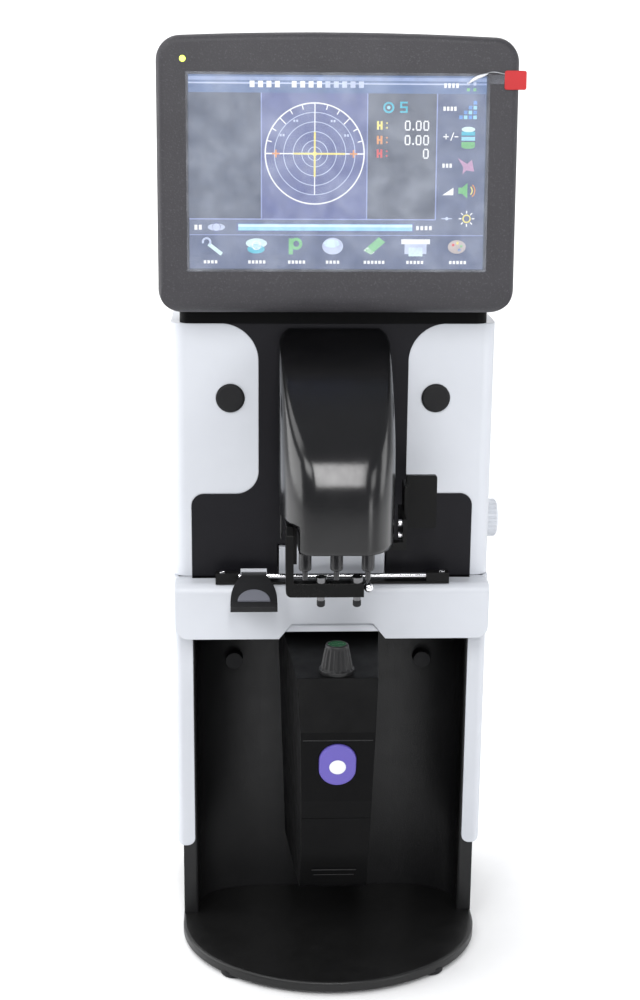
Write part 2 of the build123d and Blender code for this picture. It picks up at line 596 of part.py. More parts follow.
with BuildPart() as knob_shaft:
    bar_x(15, 96, KNOB_Y, KNOB_Z, 3)
    bar_x(19, 27, KNOB_Y, KNOB_Z, ROLLER_RADIUS)
knob_shaft.part.label = "knob_shaft"
export_step(knob_shaft.part, "parts/knob_shaft.step")

with BuildPart() as table_knob:
    bar_x(BODY_HALF + 0.4, BODY_HALF + 7, KNOB_Y, KNOB_Z, 11)
    chamfer(edges().group_by(Axis.X)[-1], 1.2)
    bar_x(BODY_HALF, 96, KNOB_Y, KNOB_Z, 3, Mode.SUBTRACT)
    with Locations(Location((BODY_HALF + 3.6, KNOB_Y, KNOB_Z), (0, 90, 0))):
        with PolarLocations(11.3, 24):
            Cylinder(0.7, 4.4, mode=Mode.SUBTRACT)
table_knob.part.label = "table_knob"
export_step(table_knob.part, "parts/table_knob.step")

# ---------------------------------------------------------------- nose pad rail and slider
RAIL_PLATE_TOP = TABLE_TOP + 1.2
with BuildPart() as rail_plate:
    block(-RAIL_HALF, RAIL_HALF, -22.6, -16, TABLE_TOP, RAIL_PLATE_TOP)
    for side in (-1, 1):
        inner, outer = sorted((side * (RAIL_HALF - RAIL_BLOCK), side * RAIL_HALF))
        block(inner, outer, -22.2, -16.4, RAIL_PLATE_TOP, 227.2)
    bar_x(-RAIL_HALF + 4, RAIL_HALF - 4, RAIL_Y, RAIL_ROD_Z, RAIL_ROD_RADIUS, Mode.SUBTRACT)
    for side in (-1, 1):
        post(side * (RAIL_HALF - 4), RAIL_Y, 226.4, 228, 1.9, Mode.SUBTRACT)
rail_plate.part.label = "rail_plate"
export_step(rail_plate.part, "parts/rail_plate.step")

with BuildPart() as rail_rod:
    bar_x(-RAIL_HALF + 4, RAIL_HALF - 4, RAIL_Y, RAIL_ROD_Z, RAIL_ROD_RADIUS)
rail_rod.part.label = "rail_rod"
export_step(rail_rod.part, "parts/rail_rod.step")

with BuildPart() as rail_screws:
    for side in (-1, 1):
        post(side * (RAIL_HALF - 4), RAIL_Y, 226.5, 227.7, 1.8)
        with Locations((side * (RAIL_HALF - 4), RAIL_Y, 227.7)):
            Box(2.6, 0.5, 0.8, mode=Mode.SUBTRACT)
rail_screws.part.label = "rail_screws"
export_step(rail_screws.part, "parts/rail_screws.step")

PAD_LEAN = 26.5
PAD_NECK = 7.0
PAD_RIM = 13.0
PAD_LENGTH = 26.5
PAD_PLANE = Plane(
    origin=(PAD_X, -22.9, 226.8), x_dir=(1, 0, 0),
    z_dir=(0, -sin(radians(PAD_LEAN)), cos(radians(PAD_LEAN))),
)
with BuildPart() as nose_pad:
    block(PAD_X - PAD_NECK, PAD_X + PAD_NECK, -23.2, -16.6, RAIL_PLATE_TOP + GAP, 226.9)
    with BuildSketch(PAD_PLANE):
        with BuildLine():
            Line((-PAD_NECK, 0), (PAD_NECK, 0))
            Spline(
                (PAD_NECK, 0), (PAD_RIM - 1, -12), (PAD_RIM, -PAD_LENGTH + 4),
                tangents=((0.6, -1), (0, -1)),
            )
            Polyline(
                (PAD_RIM, -PAD_LENGTH + 4), (PAD_RIM, -PAD_LENGTH), (-PAD_RIM, -PAD_LENGTH),
                (-PAD_RIM, -PAD_LENGTH + 4),
            )
            Spline(
                (-PAD_RIM, -PAD_LENGTH + 4), (-PAD_RIM + 1, -12), (-PAD_NECK, 0),
                tangents=((0, 1), (0.6, 1)),
            )
        make_face()
    extrude(amount=-3.0)
    with BuildSketch(PAD_PLANE):
        with Locations((0, -PAD_LENGTH + 2)):
            RectangleRounded(2 * PAD_RIM, 4, 1.2)
    extrude(amount=1.0)
    bar_x(PAD_X - 10, PAD_X + 10, RAIL_Y, RAIL_ROD_Z, RAIL_ROD_RADIUS + FIT, Mode.SUBTRACT)
nose_pad.part.label = "nose_pad"
export_step(nose_pad.part, "parts/nose_pad.step")

with BuildPart() as pad_cushion:
    with BuildSketch(PAD_PLANE):
        with Locations((0, -PAD_LENGTH + 4)):
            Circle(9.0)
        with Locations((0, -PAD_LENGTH - 6)):
            Rectangle(30, 20, mode=Mode.SUBTRACT)
    extrude(amount=2.2)
    fillet(edges().group_by(Axis.Z)[-1], 0.8)
pad_cushion.part.label = "pad_cushion"
export_step(pad_cushion.part, "parts/pad_cushion.step")

with BuildPart() as pad_clip:
    block(PAD_X - 7.4, PAD_X + 7.4, -18.6, -16.2, RAIL_PLATE_TOP + GAP, 228.4)
    block(PAD_X - 7, PAD_X + 7, -18.7, -16.1, RAIL_PLATE_TOP, 226.9, Mode.SUBTRACT)
    bar_x(PAD_X - 10, PAD_X + 10, RAIL_Y, RAIL_ROD_Z, RAIL_ROD_RADIUS + FIT, Mode.SUBTRACT)
pad_clip.part.label = "pad_clip"
export_step(pad_clip.part, "parts/pad_clip.step")

# ---------------------------------------------------------------- lens clamp
ARM_OUTER = -28.0
ARM_INNER = -24.0
with BuildPart() as clamp_arm:
    block(ARM_OUTER, 13, CLAMP_Y - 3, CLAMP_Y + 3, 235.5, 243)
    fillet(edges().filter_by(Axis.Y).group_by(Axis.X)[0].group_by(Axis.Z)[0], 3)
    with BuildSketch(Plane.YZ.offset(ARM_OUTER)):
        with BuildLine():
            Polyline(
                (CLAMP_Y - 3, 239), (CLAMP_Y + 3, 237), (-78, 245), (-68, 262), (-68, 273), (-86, 273),
                (CLAMP_Y - 3, 269), close=True,
            )
        make_face()
    extrude(amount=ARM_INNER - ARM_OUTER)
    block(-25.2, -22, -78, -68, 250, 308)
    post(*CLAMP_ROD, 296, 308, 4.2)
    post(*CLAMP_ROD, 290, 315, CLAMP_ROD_RADIUS + FIT, Mode.SUBTRACT)
    for side in (-1, 1):
        post(side * CLAMP_PIN_X, CLAMP_Y, 230, 250, 2.0, Mode.SUBTRACT)
clamp_arm.part.label = "clamp_arm"
export_step(clamp_arm.part, "parts/clamp_arm.step")

with BuildPart() as clamp_pins:
    for side in (-1, 1):
        post(side * CLAMP_PIN_X, CLAMP_Y, 233, 245, 2.0)
        post(side * CLAMP_PIN_X, CLAMP_Y, 243, 246, 3.0)
clamp_pins.part.label = "clamp_pins"
export_step(clamp_pins.part, "parts/clamp_pins.step")

with BuildPart() as clamp_tips:
    for side in (-1, 1):
        post(side * CLAMP_PIN_X, CLAMP_Y, 229.5, 233, 2.2)
    fillet(edges().group_by(Axis.Z)[0], 1.2)
clamp_tips.part.label = "clamp_tips"
export_step(clamp_tips.part, "parts/clamp_tips.step")

with BuildPart() as clamp_ball:
    with Locations((15.6, CLAMP_Y, 240)):
        Sphere(2.6)
    block(10, 13, -100, -80, 230, 250, Mode.SUBTRACT)
clamp_ball.part.label = "clamp_ball"
export_step(clamp_ball.part, "parts/clamp_ball.step")

# ---------------------------------------------------------------- marker
PENS = [(-PEN_PITCH, PEN_Y), (0, PEN_Y), (PEN_PITCH, PEN_Y)]
CARRIAGE_LOW = 254.0
CARRIAGE_TOP = 264.0
LEVER_X = 37.0
with BuildPart() as push_rods:
    for side in (-1, 1):
        with Locations(Location((side * PUSH_ROD_X, PUSH_MID_Y, PUSH_MID_Z), (-MARKER_ANGLE, 0, 0))):
            Cylinder(PUSH_ROD_RADIUS, 92)
    block(-25, 25, -90, -40, 230, CARRIAGE_TOP, Mode.SUBTRACT)

with BuildPart() as marker_carriage:
    block(-21, 21, PEN_Y - 5.5, PEN_Y + 5.5, CARRIAGE_LOW, CARRIAGE_TOP)
    for x, y in PENS:
        post(x, y, CARRIAGE_LOW - 1, CARRIAGE_TOP + 1, PEN_RADIUS - 0.5, Mode.SUBTRACT)
    add(push_rods.part)
marker_carriage.part.label = "marker_carriage"
export_step(marker_carriage.part, "parts/marker_carriage.step")

with BuildPart() as marker_pens:
    for x, y in PENS:
        post(x, y, 241, CARRIAGE_LOW, PEN_RADIUS)
        post(x, y, CARRIAGE_LOW, CARRIAGE_TOP + 3, PEN_RADIUS - 0.5)
    fillet(edges().group_by(Axis.Z)[0], 1.6)
    for x, y in PENS:
        post(x, y, 236, 242, 1.5)
        post(x, y, 234, 236, 0.8)
marker_pens.part.label = "marker_pens"
export_step(marker_pens.part, "parts/marker_pens.step")

with BuildPart() as marker_lever:
    block(21, LEVER_X, PEN_Y - 5, PEN_Y + 1, CARRIAGE_LOW, CARRIAGE_LOW + 4)
    block(LEVER_X - 2, LEVER_X, PEN_Y - 5, -34.5, CARRIAGE_LOW + 1, 271)
    block(LEVER_X, LEVER_X + 2, -50, -34.5, 256, 285)
marker_lever.part.label = "marker_lever"
export_step(marker_lever.part, "parts/marker_lever.step")

with BuildPart() as lever_screws:
    for z in (260.4, 267.5):
        bar_x(LEVER_X - 4, LEVER_X - 2, -60, z, 1.9)
lever_screws.part.label = "lever_screws"
export_step(lever_screws.part, "parts/lever_screws.step")

with BuildPart() as marker_paddle:
    block(LEVER_X + 2, LEVER_X + 19, -38, -35, 258, 288)
    fillet(edges().filter_by(Axis.Y).group_by(Axis.X)[-1], 1.5)
marker_paddle.part.label = "marker_paddle"
export_step(marker_paddle.part, "parts/marker_paddle.step")


# ---------------------------------------------------------------- lower module
def module_solid(inset):
    """The measuring module, shrunk by inset: a tapered block cut to its side profile."""
    with BuildPart() as form:
        for height, front_half, back_half in ((MODULE_TOP, 20.9, 30.0), (40.0, 16.0, 25.0)):
            with BuildSketch(Plane.XY.offset(height)):
                with BuildLine():
                    Polyline(
                        (-back_half + inset, MODULE_BACK), (-front_half + inset, MODULE_EDGE[0]),
                        (front_half - inset, MODULE_EDGE[0]), (back_half - inset, MODULE_BACK), close=True,
                    )
                make_face()
        loft(ruled=True)
        with BuildSketch(Plane.YZ.offset(-40)):
            with BuildLine():
                Polyline(
                    (MODULE_BACK, 45 + inset), (MODULE_BACK, MODULE_TOP - inset),
                    (-84, MODULE_TOP - inset), (MODULE_EDGE[0] + inset, MODULE_EDGE[1]),
                    (MODULE_KNEE[0] + inset, MODULE_KNEE[1]), (-75 + inset, 80),
                    (MODULE_TOE[0] + inset, MODULE_TOE[1] + inset), close=True,
                )
            make_face()
            fillet(vertices().sort_by_distance((MODULE_TOE[0] + inset, MODULE_TOE[1] + inset))[0], 8)
            fillet(vertices().sort_by_distance((-75 + inset, 80))[0], 60)
        extrude(amount=80, mode=Mode.INTERSECT)
    return form.part


BUTTON_Y = MODULE_EDGE[0] + (MODULE_EDGE[1] - BUTTON_Z) * (MODULE_KNEE[0] - MODULE_EDGE[0]) / (
    MODULE_EDGE[1] - MODULE_KNEE[1]
)
BUTTON_PLANE = Plane(
    origin=(0, BUTTON_Y, BUTTON_Z), x_dir=(1, 0, 0),
    z_dir=(0, -cos(radians(FACE_LEAN)), -sin(radians(FACE_LEAN))),
)
with BuildPart() as module_upper_cover:
    add(module_solid(0))
    add(module_solid(WALL), mode=Mode.SUBTRACT)
    block(-40, 40, -110, 40, 30, MODULE_SEAM + 0.1, Mode.SUBTRACT)
    post(0, AXIS_Y, MODULE_TOP - 5, MODULE_TOP + 1, 5, Mode.SUBTRACT)
    with BuildSketch(BUTTON_PLANE.offset(5)):
        SlotOverall(BUTTON_HEIGHT + 2 * GAP, BUTTON_WIDTH + 2 * GAP, rotation=90)
    extrude(amount=-12, mode=Mode.SUBTRACT)
module_upper_cover.part.label = "module_upper_cover"
export_step(module_upper_cover.part, "parts/module_upper_cover.step")

with BuildPart() as module_lower_cover:
    add(module_solid(0))
    add(module_solid(WALL), mode=Mode.SUBTRACT)
    block(-40, 40, -110, 40, MODULE_SEAM - 0.1, MODULE_TOP + 2, Mode.SUBTRACT)
module_lower_cover.part.label = "module_lower_cover"
export_step(module_lower_cover.part, "parts/module_lower_cover.step")

with BuildPart() as measure_button:
    with BuildSketch(BUTTON_PLANE.offset(-4)):
        SlotOverall(BUTTON_HEIGHT, BUTTON_WIDTH, rotation=90)
    extrude(amount=5.4)
    fillet(edges().group_by(Axis((0, 0, 0), tuple(BUTTON_PLANE.z_dir)))[-1], 1.2)
    with BuildSketch(BUTTON_PLANE.offset(-4)):
        SlotOverall(BUTTON_HEIGHT + 2, BUTTON_WIDTH + 2, rotation=90)
    extrude(amount=1)
    with BuildSketch(BUTTON_PLANE.offset(0.6)):
        with Locations((0, -0.9)):
            Circle(4.5)
    extrude(amount=2, mode=Mode.SUBTRACT)
measure_button.part.label = "measure_button"
export_step(measure_button.part, "parts/measure_button.step")

with BuildPart() as button_window:
    with BuildSketch(BUTTON_PLANE.offset(0.6)):
        with Locations((0, -0.9)):
            Circle(4.5)
    extrude(amount=0.9)
button_window.part.label = "button_window"
export_step(button_window.part, "parts/button_window.step")

BARREL_RADIUS = 7.0
BARREL_BORE = 5.5
with BuildPart() as detector_barrel:
    post(0, AXIS_Y, 118, 184, BARREL_RADIUS)
    block(-12, 12, AXIS_Y, MODULE_BACK, 126, 129)
    post(0, AXIS_Y, 117, 185, BARREL_BORE, Mode.SUBTRACT)
detector_barrel.part.label = "detector_barrel"
export_step(detector_barrel.part, "parts/detector_barrel.step")

with BuildPart() as hartmann_plate:
    post(0, AXIS_Y, 180, 181, BARREL_BORE)
    with Locations((0, AXIS_Y, 180.5)):
        with GridLocations(2, 2, 3, 3):
            Cylinder(0.4, 2, mode=Mode.SUBTRACT)
hartmann_plate.part.label = "hartmann_plate"
export_step(hartmann_plate.part, "parts/hartmann_plate.step")

with BuildPart() as nosepiece:
    with BuildSketch(Plane.XZ.offset(-AXIS_Y)):
        with BuildLine():
            Polyline(
                (4, MODULE_TOP), (9.5, MODULE_TOP), (9.5, 190), (8.6, 191), (6.6, 201.5), (5.9, 204),
                (5, 204), (5, 202.4), (4, 202.4), close=True,
            )
        make_face()
    revolve(axis=Axis((0, AXIS_Y, 0), (0, 0, 1)))
nosepiece.part.label = "nosepiece"
export_step(nosepiece.part, "parts/nosepiece.step")

with BuildPart() as protective_glass:
    post(0, AXIS_Y, 202.4, 203.7, 5)
protective_glass.part.label = "protective_glass"
export_step(protective_glass.part, "parts/protective_glass.step")

# ---------------------------------------------------------------- tilt hinge
COWL_HALF = 85.0
COWL_FRONT = -9.0
COWL_BACK = 25.0
COWL_TOP = 393.0
COWL_WALL = 2.2
with BuildPart() as hinge_cowl:
    with BuildSketch(Plane.YZ.offset(-COWL_HALF)):
        with Locations(((COWL_FRONT + COWL_BACK) / 2, (BODY_TOP + COWL_TOP) / 2)):
            Rectangle(COWL_BACK - COWL_FRONT, COWL_TOP - BODY_TOP)
        fillet(vertices().group_by(Axis.Y)[-1], 12)
    extrude(amount=2 * COWL_HALF)
    fillet(edges().filter_by(GeomType.LINE).filter_by(Axis.Z), 6)
    with BuildSketch(Plane.YZ.offset(-COWL_HALF + 7)):
        with Locations(((COWL_FRONT + COWL_BACK) / 2, (BODY_TOP + COWL_TOP - COWL_WALL) / 2 - 1)):
            Rectangle(COWL_BACK - COWL_FRONT - 2 * COWL_WALL, COWL_TOP - BODY_TOP - COWL_WALL + 2)
        fillet(vertices().group_by(Axis.Y)[-1], 10)
    extrude(amount=2 * COWL_HALF - 14, mode=Mode.SUBTRACT)
    for side in (-1, 1):
        slot = side * ARM_X
        block(slot - 3.5, slot + 3.5, -1, COWL_BACK + 1, TILT_Z - 8, COWL_TOP + 1, Mode.SUBTRACT)
hinge_cowl.part.label = "hinge_cowl"
export_step(hinge_cowl.part, "parts/hinge_cowl.step")

with BuildPart() as tilt_brackets:
    for side in (-1, 1):
        block(side * 55 - 2.5, side * 55 + 2.5, TILT_Y - 8, TILT_Y + 8, BODY_TOP, TILT_Z + 8)
        block(side * 55 - 10, side * 55 + 10, TILT_Y - 8, TILT_Y + 12, BODY_TOP, BODY_TOP + 2.5)
    bar_x(-62, 62, TILT_Y, TILT_Z, TILT_SHAFT_RADIUS)
tilt_brackets.part.label = "tilt_brackets"
export_step(tilt_brackets.part, "parts/tilt_brackets.step")

with BuildPart() as tilt_arms:
    for side in (-1, 1):
        bar_x(side * ARM_X - 2.5, side * ARM_X + 2.5, TILT_Y, TILT_Z, 8)
        block(side * ARM_X - 2.5, side * ARM_X + 2.5, 2, 9, TILT_Z, 432)
    block(-ARM_X, ARM_X, 2, 4.5, 412, 432)
    bar_x(-70, 70, TILT_Y, TILT_Z, TILT_SHAFT_RADIUS + FIT, Mode.SUBTRACT)
tilt_arms.part.label = "tilt_arms"
export_step(tilt_arms.part, "parts/tilt_arms.step")

# ---------------------------------------------------------------- display
SCREEN_NORMAL = (0, -cos(radians(DISPLAY_LEAN)), sin(radians(DISPLAY_LEAN)))
SCREEN_PLANE = Plane(origin=DISPLAY_CENTRE, x_dir=(1, 0, 0), z_dir=SCREEN_NORMAL)
SIDE_PLANE = Plane(
    origin=(-110, DISPLAY_CENTRE[1], DISPLAY_CENTRE[2]), x_dir=SCREEN_NORMAL, z_dir=(1, 0, 0)
)
WINDOW_CENTRE = (0, 1)
BEZEL_DEPTH = 15.0
BEZEL_FACE = 2.5
GLASS_BACK = 4.2
ARCH = 2.5
BEZEL_CORNER = 13.0
CHIN_DEPTH = 13.0
CHIN_HEIGHT = 17.0
with BuildPart() as display_bezel:
    with BuildSketch(SCREEN_PLANE.offset(-BEZEL_DEPTH)):
        side_top = DISPLAY_HALF_HEIGHT - ARCH
        half = DISPLAY_WIDTH / 2
        with BuildLine():
            Polyline(
                (-half, side_top), (-half, -DISPLAY_HALF_HEIGHT), (half, -DISPLAY_HALF_HEIGHT),
                (half, side_top),
            )
            ThreePointArc((half, side_top), (0, DISPLAY_HALF_HEIGHT), (-half, side_top))
        make_face()
        fillet(vertices(), BEZEL_CORNER)
    extrude(amount=BEZEL_DEPTH)
    fillet(edges().group_by(Axis((0, 0, 0), SCREEN_NORMAL))[-1], 4)
    with BuildSketch(SIDE_PLANE):
        with BuildLine():
            edge = DISPLAY_HALF_HEIGHT - CHIN_HEIGHT
            EllipticalCenterArc((-CHIN_DEPTH, edge), CHIN_DEPTH, CHIN_HEIGHT, start_angle=0, arc_size=90)
            Polyline(
                (-CHIN_DEPTH, DISPLAY_HALF_HEIGHT), (-CHIN_DEPTH, DISPLAY_HALF_HEIGHT + 5),
                (5, DISPLAY_HALF_HEIGHT + 5), (5, edge), (0, edge),
            )
        make_face()
    extrude(amount=220, mode=Mode.SUBTRACT)
    with BuildSketch(SCREEN_PLANE):
        with Locations(WINDOW_CENTRE):
            Rectangle(WINDOW_WIDTH, WINDOW_HEIGHT)
    extrude(amount=-BEZEL_DEPTH, mode=Mode.SUBTRACT)
    with BuildSketch(SCREEN_PLANE.offset(-BEZEL_FACE)):
        with Locations((0, 5)):
            Rectangle(176, 118)
    extrude(amount=-BEZEL_DEPTH, mode=Mode.SUBTRACT)
    with BuildSketch(SCREEN_PLANE):
        with Locations((-81, 59)):
            Circle(1.65)
    extrude(amount=-BEZEL_DEPTH, mode=Mode.SUBTRACT)
display_bezel.part.label = "display_bezel"
export_step(display_bezel.part, "parts/display_bezel.step")

SHELL_BACK = 45.0
with BuildPart() as shell_cavity:
    with BuildSketch(SCREEN_PLANE.offset(-SHELL_BACK + WALL)):
        with Locations((0, 9)):
            RectangleRounded(180 - 2 * WALL, 118 - 2 * WALL, 14 - WALL)
    extrude(amount=SHELL_BACK)
    fillet(edges().group_by(Axis((0, 0, 0), SCREEN_NORMAL))[0], 10 - WALL)

with BuildPart() as display_back:
    with BuildSketch(SCREEN_PLANE.offset(-SHELL_BACK)):
        with Locations((0, 9)):
            RectangleRounded(180, 118, 14)
    extrude(amount=SHELL_BACK - BEZEL_DEPTH)
    fillet(edges().group_by(Axis((0, 0, 0), SCREEN_NORMAL))[0], 10)
    add(shell_cavity.part, mode=Mode.SUBTRACT)
    for side in (-1, 1):
        block(side * ARM_X - 3, side * ARM_X + 3, -5, 10, 385, 412, Mode.SUBTRACT)
    with BuildSketch(SCREEN_PLANE.offset(-SHELL_BACK - 1)):
        with GridLocations(8, 1, 13, 1):
            with Locations((0, 45)):
                SlotOverall(18, 3, rotation=90)
    extrude(amount=6, mode=Mode.SUBTRACT)
display_back.part.label = "display_back"
export_step(display_back.part, "parts/display_back.step")

with BuildPart() as touch_glass:
    with BuildSketch(SCREEN_PLANE.offset(-GLASS_BACK)):
        with Locations(WINDOW_CENTRE):
            Rectangle(WINDOW_WIDTH + 6, WINDOW_HEIGHT + 6)
    extrude(amount=GLASS_BACK - BEZEL_FACE)
touch_glass.part.label = "touch_glass"
export_step(touch_glass.part, "parts/touch_glass.step")

with BuildPart() as lcd_panel:
    with BuildSketch(SCREEN_PLANE.offset(-GLASS_BACK - 5)):
        with Locations(WINDOW_CENTRE):
            Rectangle(WINDOW_WIDTH + 8, WINDOW_HEIGHT + 6)
    extrude(amount=5)
lcd_panel.part.label = "lcd_panel"
export_step(lcd_panel.part, "parts/lcd_panel.step")

with BuildPart() as status_led:
    with BuildSketch(SCREEN_PLANE.offset(-BEZEL_FACE - 1)):
        with Locations((-81, 59)):
            Circle(1.6)
    extrude(amount=BEZEL_FACE + 1.5)
    fillet(edges().group_by(Axis((0, 0, 0), SCREEN_NORMAL))[-1], 0.6)
status_led.part.label = "status_led"
export_step(status_led.part, "parts/status_led.step")

FILM = 0.2
with BuildPart() as screen_film:
    with BuildSketch(SCREEN_PLANE):
        with Locations(WINDOW_CENTRE):
            Rectangle(WINDOW_WIDTH + 2, WINDOW_HEIGHT + 2)
        with Locations((84, 49.5)):
            Rectangle(14, 5)
    extrude(amount=FILM)
screen_film.part.label = "screen_film"
export_step(screen_film.part, "parts/screen_film.step")

with BuildPart() as film_tab:
    with BuildSketch(SCREEN_PLANE.offset(FILM)):
        with Locations((92.75, 49.2)):
            RectangleRounded(11.5, 9.8, 1.2)
    extrude(amount=0.4)
film_tab.part.label = "film_tab"
export_step(film_tab.part, "parts/film_tab.step")
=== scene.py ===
import json
import math

import bmesh
import bpy
from mathutils import Matrix, Vector, noise


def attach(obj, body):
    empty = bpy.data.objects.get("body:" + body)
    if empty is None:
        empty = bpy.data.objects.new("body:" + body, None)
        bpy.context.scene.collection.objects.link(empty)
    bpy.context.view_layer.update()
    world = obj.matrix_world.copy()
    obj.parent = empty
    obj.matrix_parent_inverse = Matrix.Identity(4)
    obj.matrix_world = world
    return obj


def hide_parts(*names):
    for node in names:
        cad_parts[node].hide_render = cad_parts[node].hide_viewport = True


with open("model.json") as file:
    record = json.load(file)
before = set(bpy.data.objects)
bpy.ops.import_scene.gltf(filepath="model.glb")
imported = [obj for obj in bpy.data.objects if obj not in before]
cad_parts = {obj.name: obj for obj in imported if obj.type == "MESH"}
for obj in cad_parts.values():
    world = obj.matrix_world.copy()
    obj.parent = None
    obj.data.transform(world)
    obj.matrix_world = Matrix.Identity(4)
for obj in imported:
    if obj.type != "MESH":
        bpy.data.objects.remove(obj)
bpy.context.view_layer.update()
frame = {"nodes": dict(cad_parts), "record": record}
scene = bpy.context.scene
MM = 0.001


# ---------------------------------------------------------------- material helpers
class Nodes:
    """A Principled material whose colour, roughness and bump come from noise in object space."""

    def __init__(self, name):
        self.mat = bpy.data.materials.new(name)
        self.mat.use_nodes = True
        self.tree = self.mat.node_tree
        self.shader = self.tree.nodes["Principled BSDF"]
        self.coords = self.tree.nodes.new("ShaderNodeTexCoord").outputs["Object"]

    def node(self, kind, **inputs):
        made = self.tree.nodes.new(kind)
        for name, value in inputs.items():
            self.put(made.inputs[name.replace("_", " ")], value)
        return made

    def put(self, socket, value):
        if isinstance(value, bpy.types.NodeSocket):
            self.tree.links.new(value, socket)
        else:
            socket.default_value = value

    def stretched(self, scale):
        mapping = self.node("ShaderNodeMapping", Vector=self.coords)
        mapping.inputs["Scale"].default_value = scale
        return mapping.outputs["Vector"]

    def noise(self, size, detail=2.0, rough=0.5, stretch=None):
        """Noise whose features are about size metres across."""
        vector = self.stretched(stretch) if stretch else self.coords
        made = self.node("ShaderNodeTexNoise", Vector=vector, Scale=1 / size, Detail=detail, Roughness=rough)
        return made.outputs["Fac"]

    def ramp(self, value, low, high, out_low=0.0, out_high=1.0):
        made = self.node("ShaderNodeMapRange", Value=value)
        limits = (("From Min", low), ("From Max", high), ("To Min", out_low), ("To Max", out_high))
        for name, number in limits:
            made.inputs[name].default_value = number
        return made.outputs["Result"]

    def multiply(self, a, b):
        made = self.node("ShaderNodeMath")
        made.operation = "MULTIPLY"
        self.put(made.inputs[0], a)
        self.put(made.inputs[1], b)
        return made.outputs[0]

    def mix(self, fac, a, b):
        made = self.node("ShaderNodeMix")
        made.data_type = "RGBA"
        self.put(made.inputs["Factor"], fac)
        self.put(made.inputs["A"], a)
        self.put(made.inputs["B"], b)
        return made.outputs["Result"]


def shade(color, factor):
    """A colour made lighter or darker, with an opaque alpha."""
    return tuple(min(1.0, c * factor) for c in color[:3]) + (1.0,)


# sizes in metres of the features the noise makes
BLOTCH_SIZE, PATCH_SIZE, RUB_AND_HIGHLIGHT_SIZE, MOTE_SIZE = 0.03, 0.012, 0.004, 0.0011
DUST_COLOR = (0.35, 0.35, 0.36, 1.0)
EDGE_SAMPLES = 4
LIGHTER, DARKER = 2.2, 0.72
SPECK_LIGHTER = 3.2


def surface(
    name, color, rough, metallic=0.0, grain=0.0005, bump=0.15, mottle=0.06, speck=0.0, wear_and_highlight=0.25,
    edge=0.0006, specular=0.5, stretch=None, dust=0.0,
):
    """A moulded, painted or metal surface: grain, mottling, edges made lighter on dark surfaces and darker on
    light ones (rubbed wear with a painted edge highlight) and uneven gloss.
    """
    n = Nodes(name)
    blotch = n.noise(BLOTCH_SIZE, 3.0, 0.6)
    base = n.mix(n.ramp(blotch, 0.3, 0.7), shade(color, 1 - mottle), shade(color, 1 + mottle))
    fine = n.noise(grain, 3.0, 0.65, stretch)
    if speck:
        base = n.mix(n.ramp(fine, 0.56, 0.72, 0.0, speck), base, shade(color, SPECK_LIGHTER))
    if dust:
        motes = n.ramp(n.noise(MOTE_SIZE, 4.0, 0.8), 0.66, 0.78, 0.0, dust)
        base = n.mix(motes, base, DUST_COLOR)
    rounded = n.node("ShaderNodeBevel", Radius=edge)
    rounded.samples = EDGE_SAMPLES
    # near edges the colour turns lighter on dark surfaces and darker on light ones; on dark surfaces this is
    # a painted edge highlight as well as rubbed wear
    if wear_and_highlight:
        facing = n.node("ShaderNodeVectorMath")
        facing.operation = "DOT_PRODUCT"
        n.put(facing.inputs[0], rounded.outputs["Normal"])
        n.put(facing.inputs[1], n.node("ShaderNodeNewGeometry").outputs["Normal"])
        rubbed_and_highlit = n.ramp(facing.outputs["Value"], 0.98, 0.85, 0.0, wear_and_highlight)
        rubbed_and_highlit = n.multiply(rubbed_and_highlit, n.ramp(n.noise(RUB_AND_HIGHLIGHT_SIZE, 4.0, 0.7), 0.35, 0.65))
        base = n.mix(rubbed_and_highlit, base, shade(color, LIGHTER if max(color[:3]) < 0.3 else DARKER))
    n.put(n.shader.inputs["Base Color"], base)
    patches = n.noise(PATCH_SIZE, 4.0, 0.6)
    n.put(n.shader.inputs["Roughness"], n.ramp(patches, 0.3, 0.7, rough * 0.85, rough * 1.15))
    relief = n.node("ShaderNodeBump", Height=fine, Normal=rounded.outputs["Normal"])
    relief.inputs["Strength"].default_value = bump
    relief.inputs["Distance"].default_value = grain * 0.4
    n.put(n.shader.inputs["Normal"], relief.outputs["Normal"])
    n.shader.inputs["Metallic"].default_value = metallic
    n.shader.inputs["Specular IOR Level"].default_value = specular
    return n.mat


def clear(name, color, rough, alpha, grain=0.02, streak=0.1):
    """A thin clear layer: see-through, with smears that scatter a little light."""
    n = Nodes(name)
    smear = n.noise(grain, 5.0, 0.7)
    scratch = n.noise(0.014, 2.0, 0.5, (1.0, 1.0, 0.7))
    n.put(n.shader.inputs["Base Color"], n.mix(smear, shade(color, 0.8), shade(color, 1.1)))
    n.put(n.shader.inputs["Roughness"], n.ramp(smear, 0.3, 0.7, rough * 0.6, rough * 1.4))
    veil = n.ramp(n.multiply(smear, scratch), 0.12, 0.42, alpha - streak, alpha + streak)
    n.put(n.shader.inputs["Alpha"], veil)
    return n.mat


GLOW_SPREAD = 0.12


def lit(name, color, strength, size=0.006):
    """A glowing area of the screen, a little uneven."""
    n = Nodes(name)
    uneven = n.ramp(n.noise(size, 4.0, 0.6), 0.3, 0.7)
    tone = n.mix(uneven, shade(color, 1 - GLOW_SPREAD), shade(color, 1 + GLOW_SPREAD))
    n.put(n.shader.inputs["Emission Color"], tone)
    n.put(n.shader.inputs["Base Color"], n.mix(uneven, (0.01, 0.01, 0.012, 1.0), (0.02, 0.02, 0.025, 1.0)))
    n.shader.inputs["Emission Strength"].default_value = strength
    n.shader.inputs["Roughness"].default_value = 0.4
    return n.mat


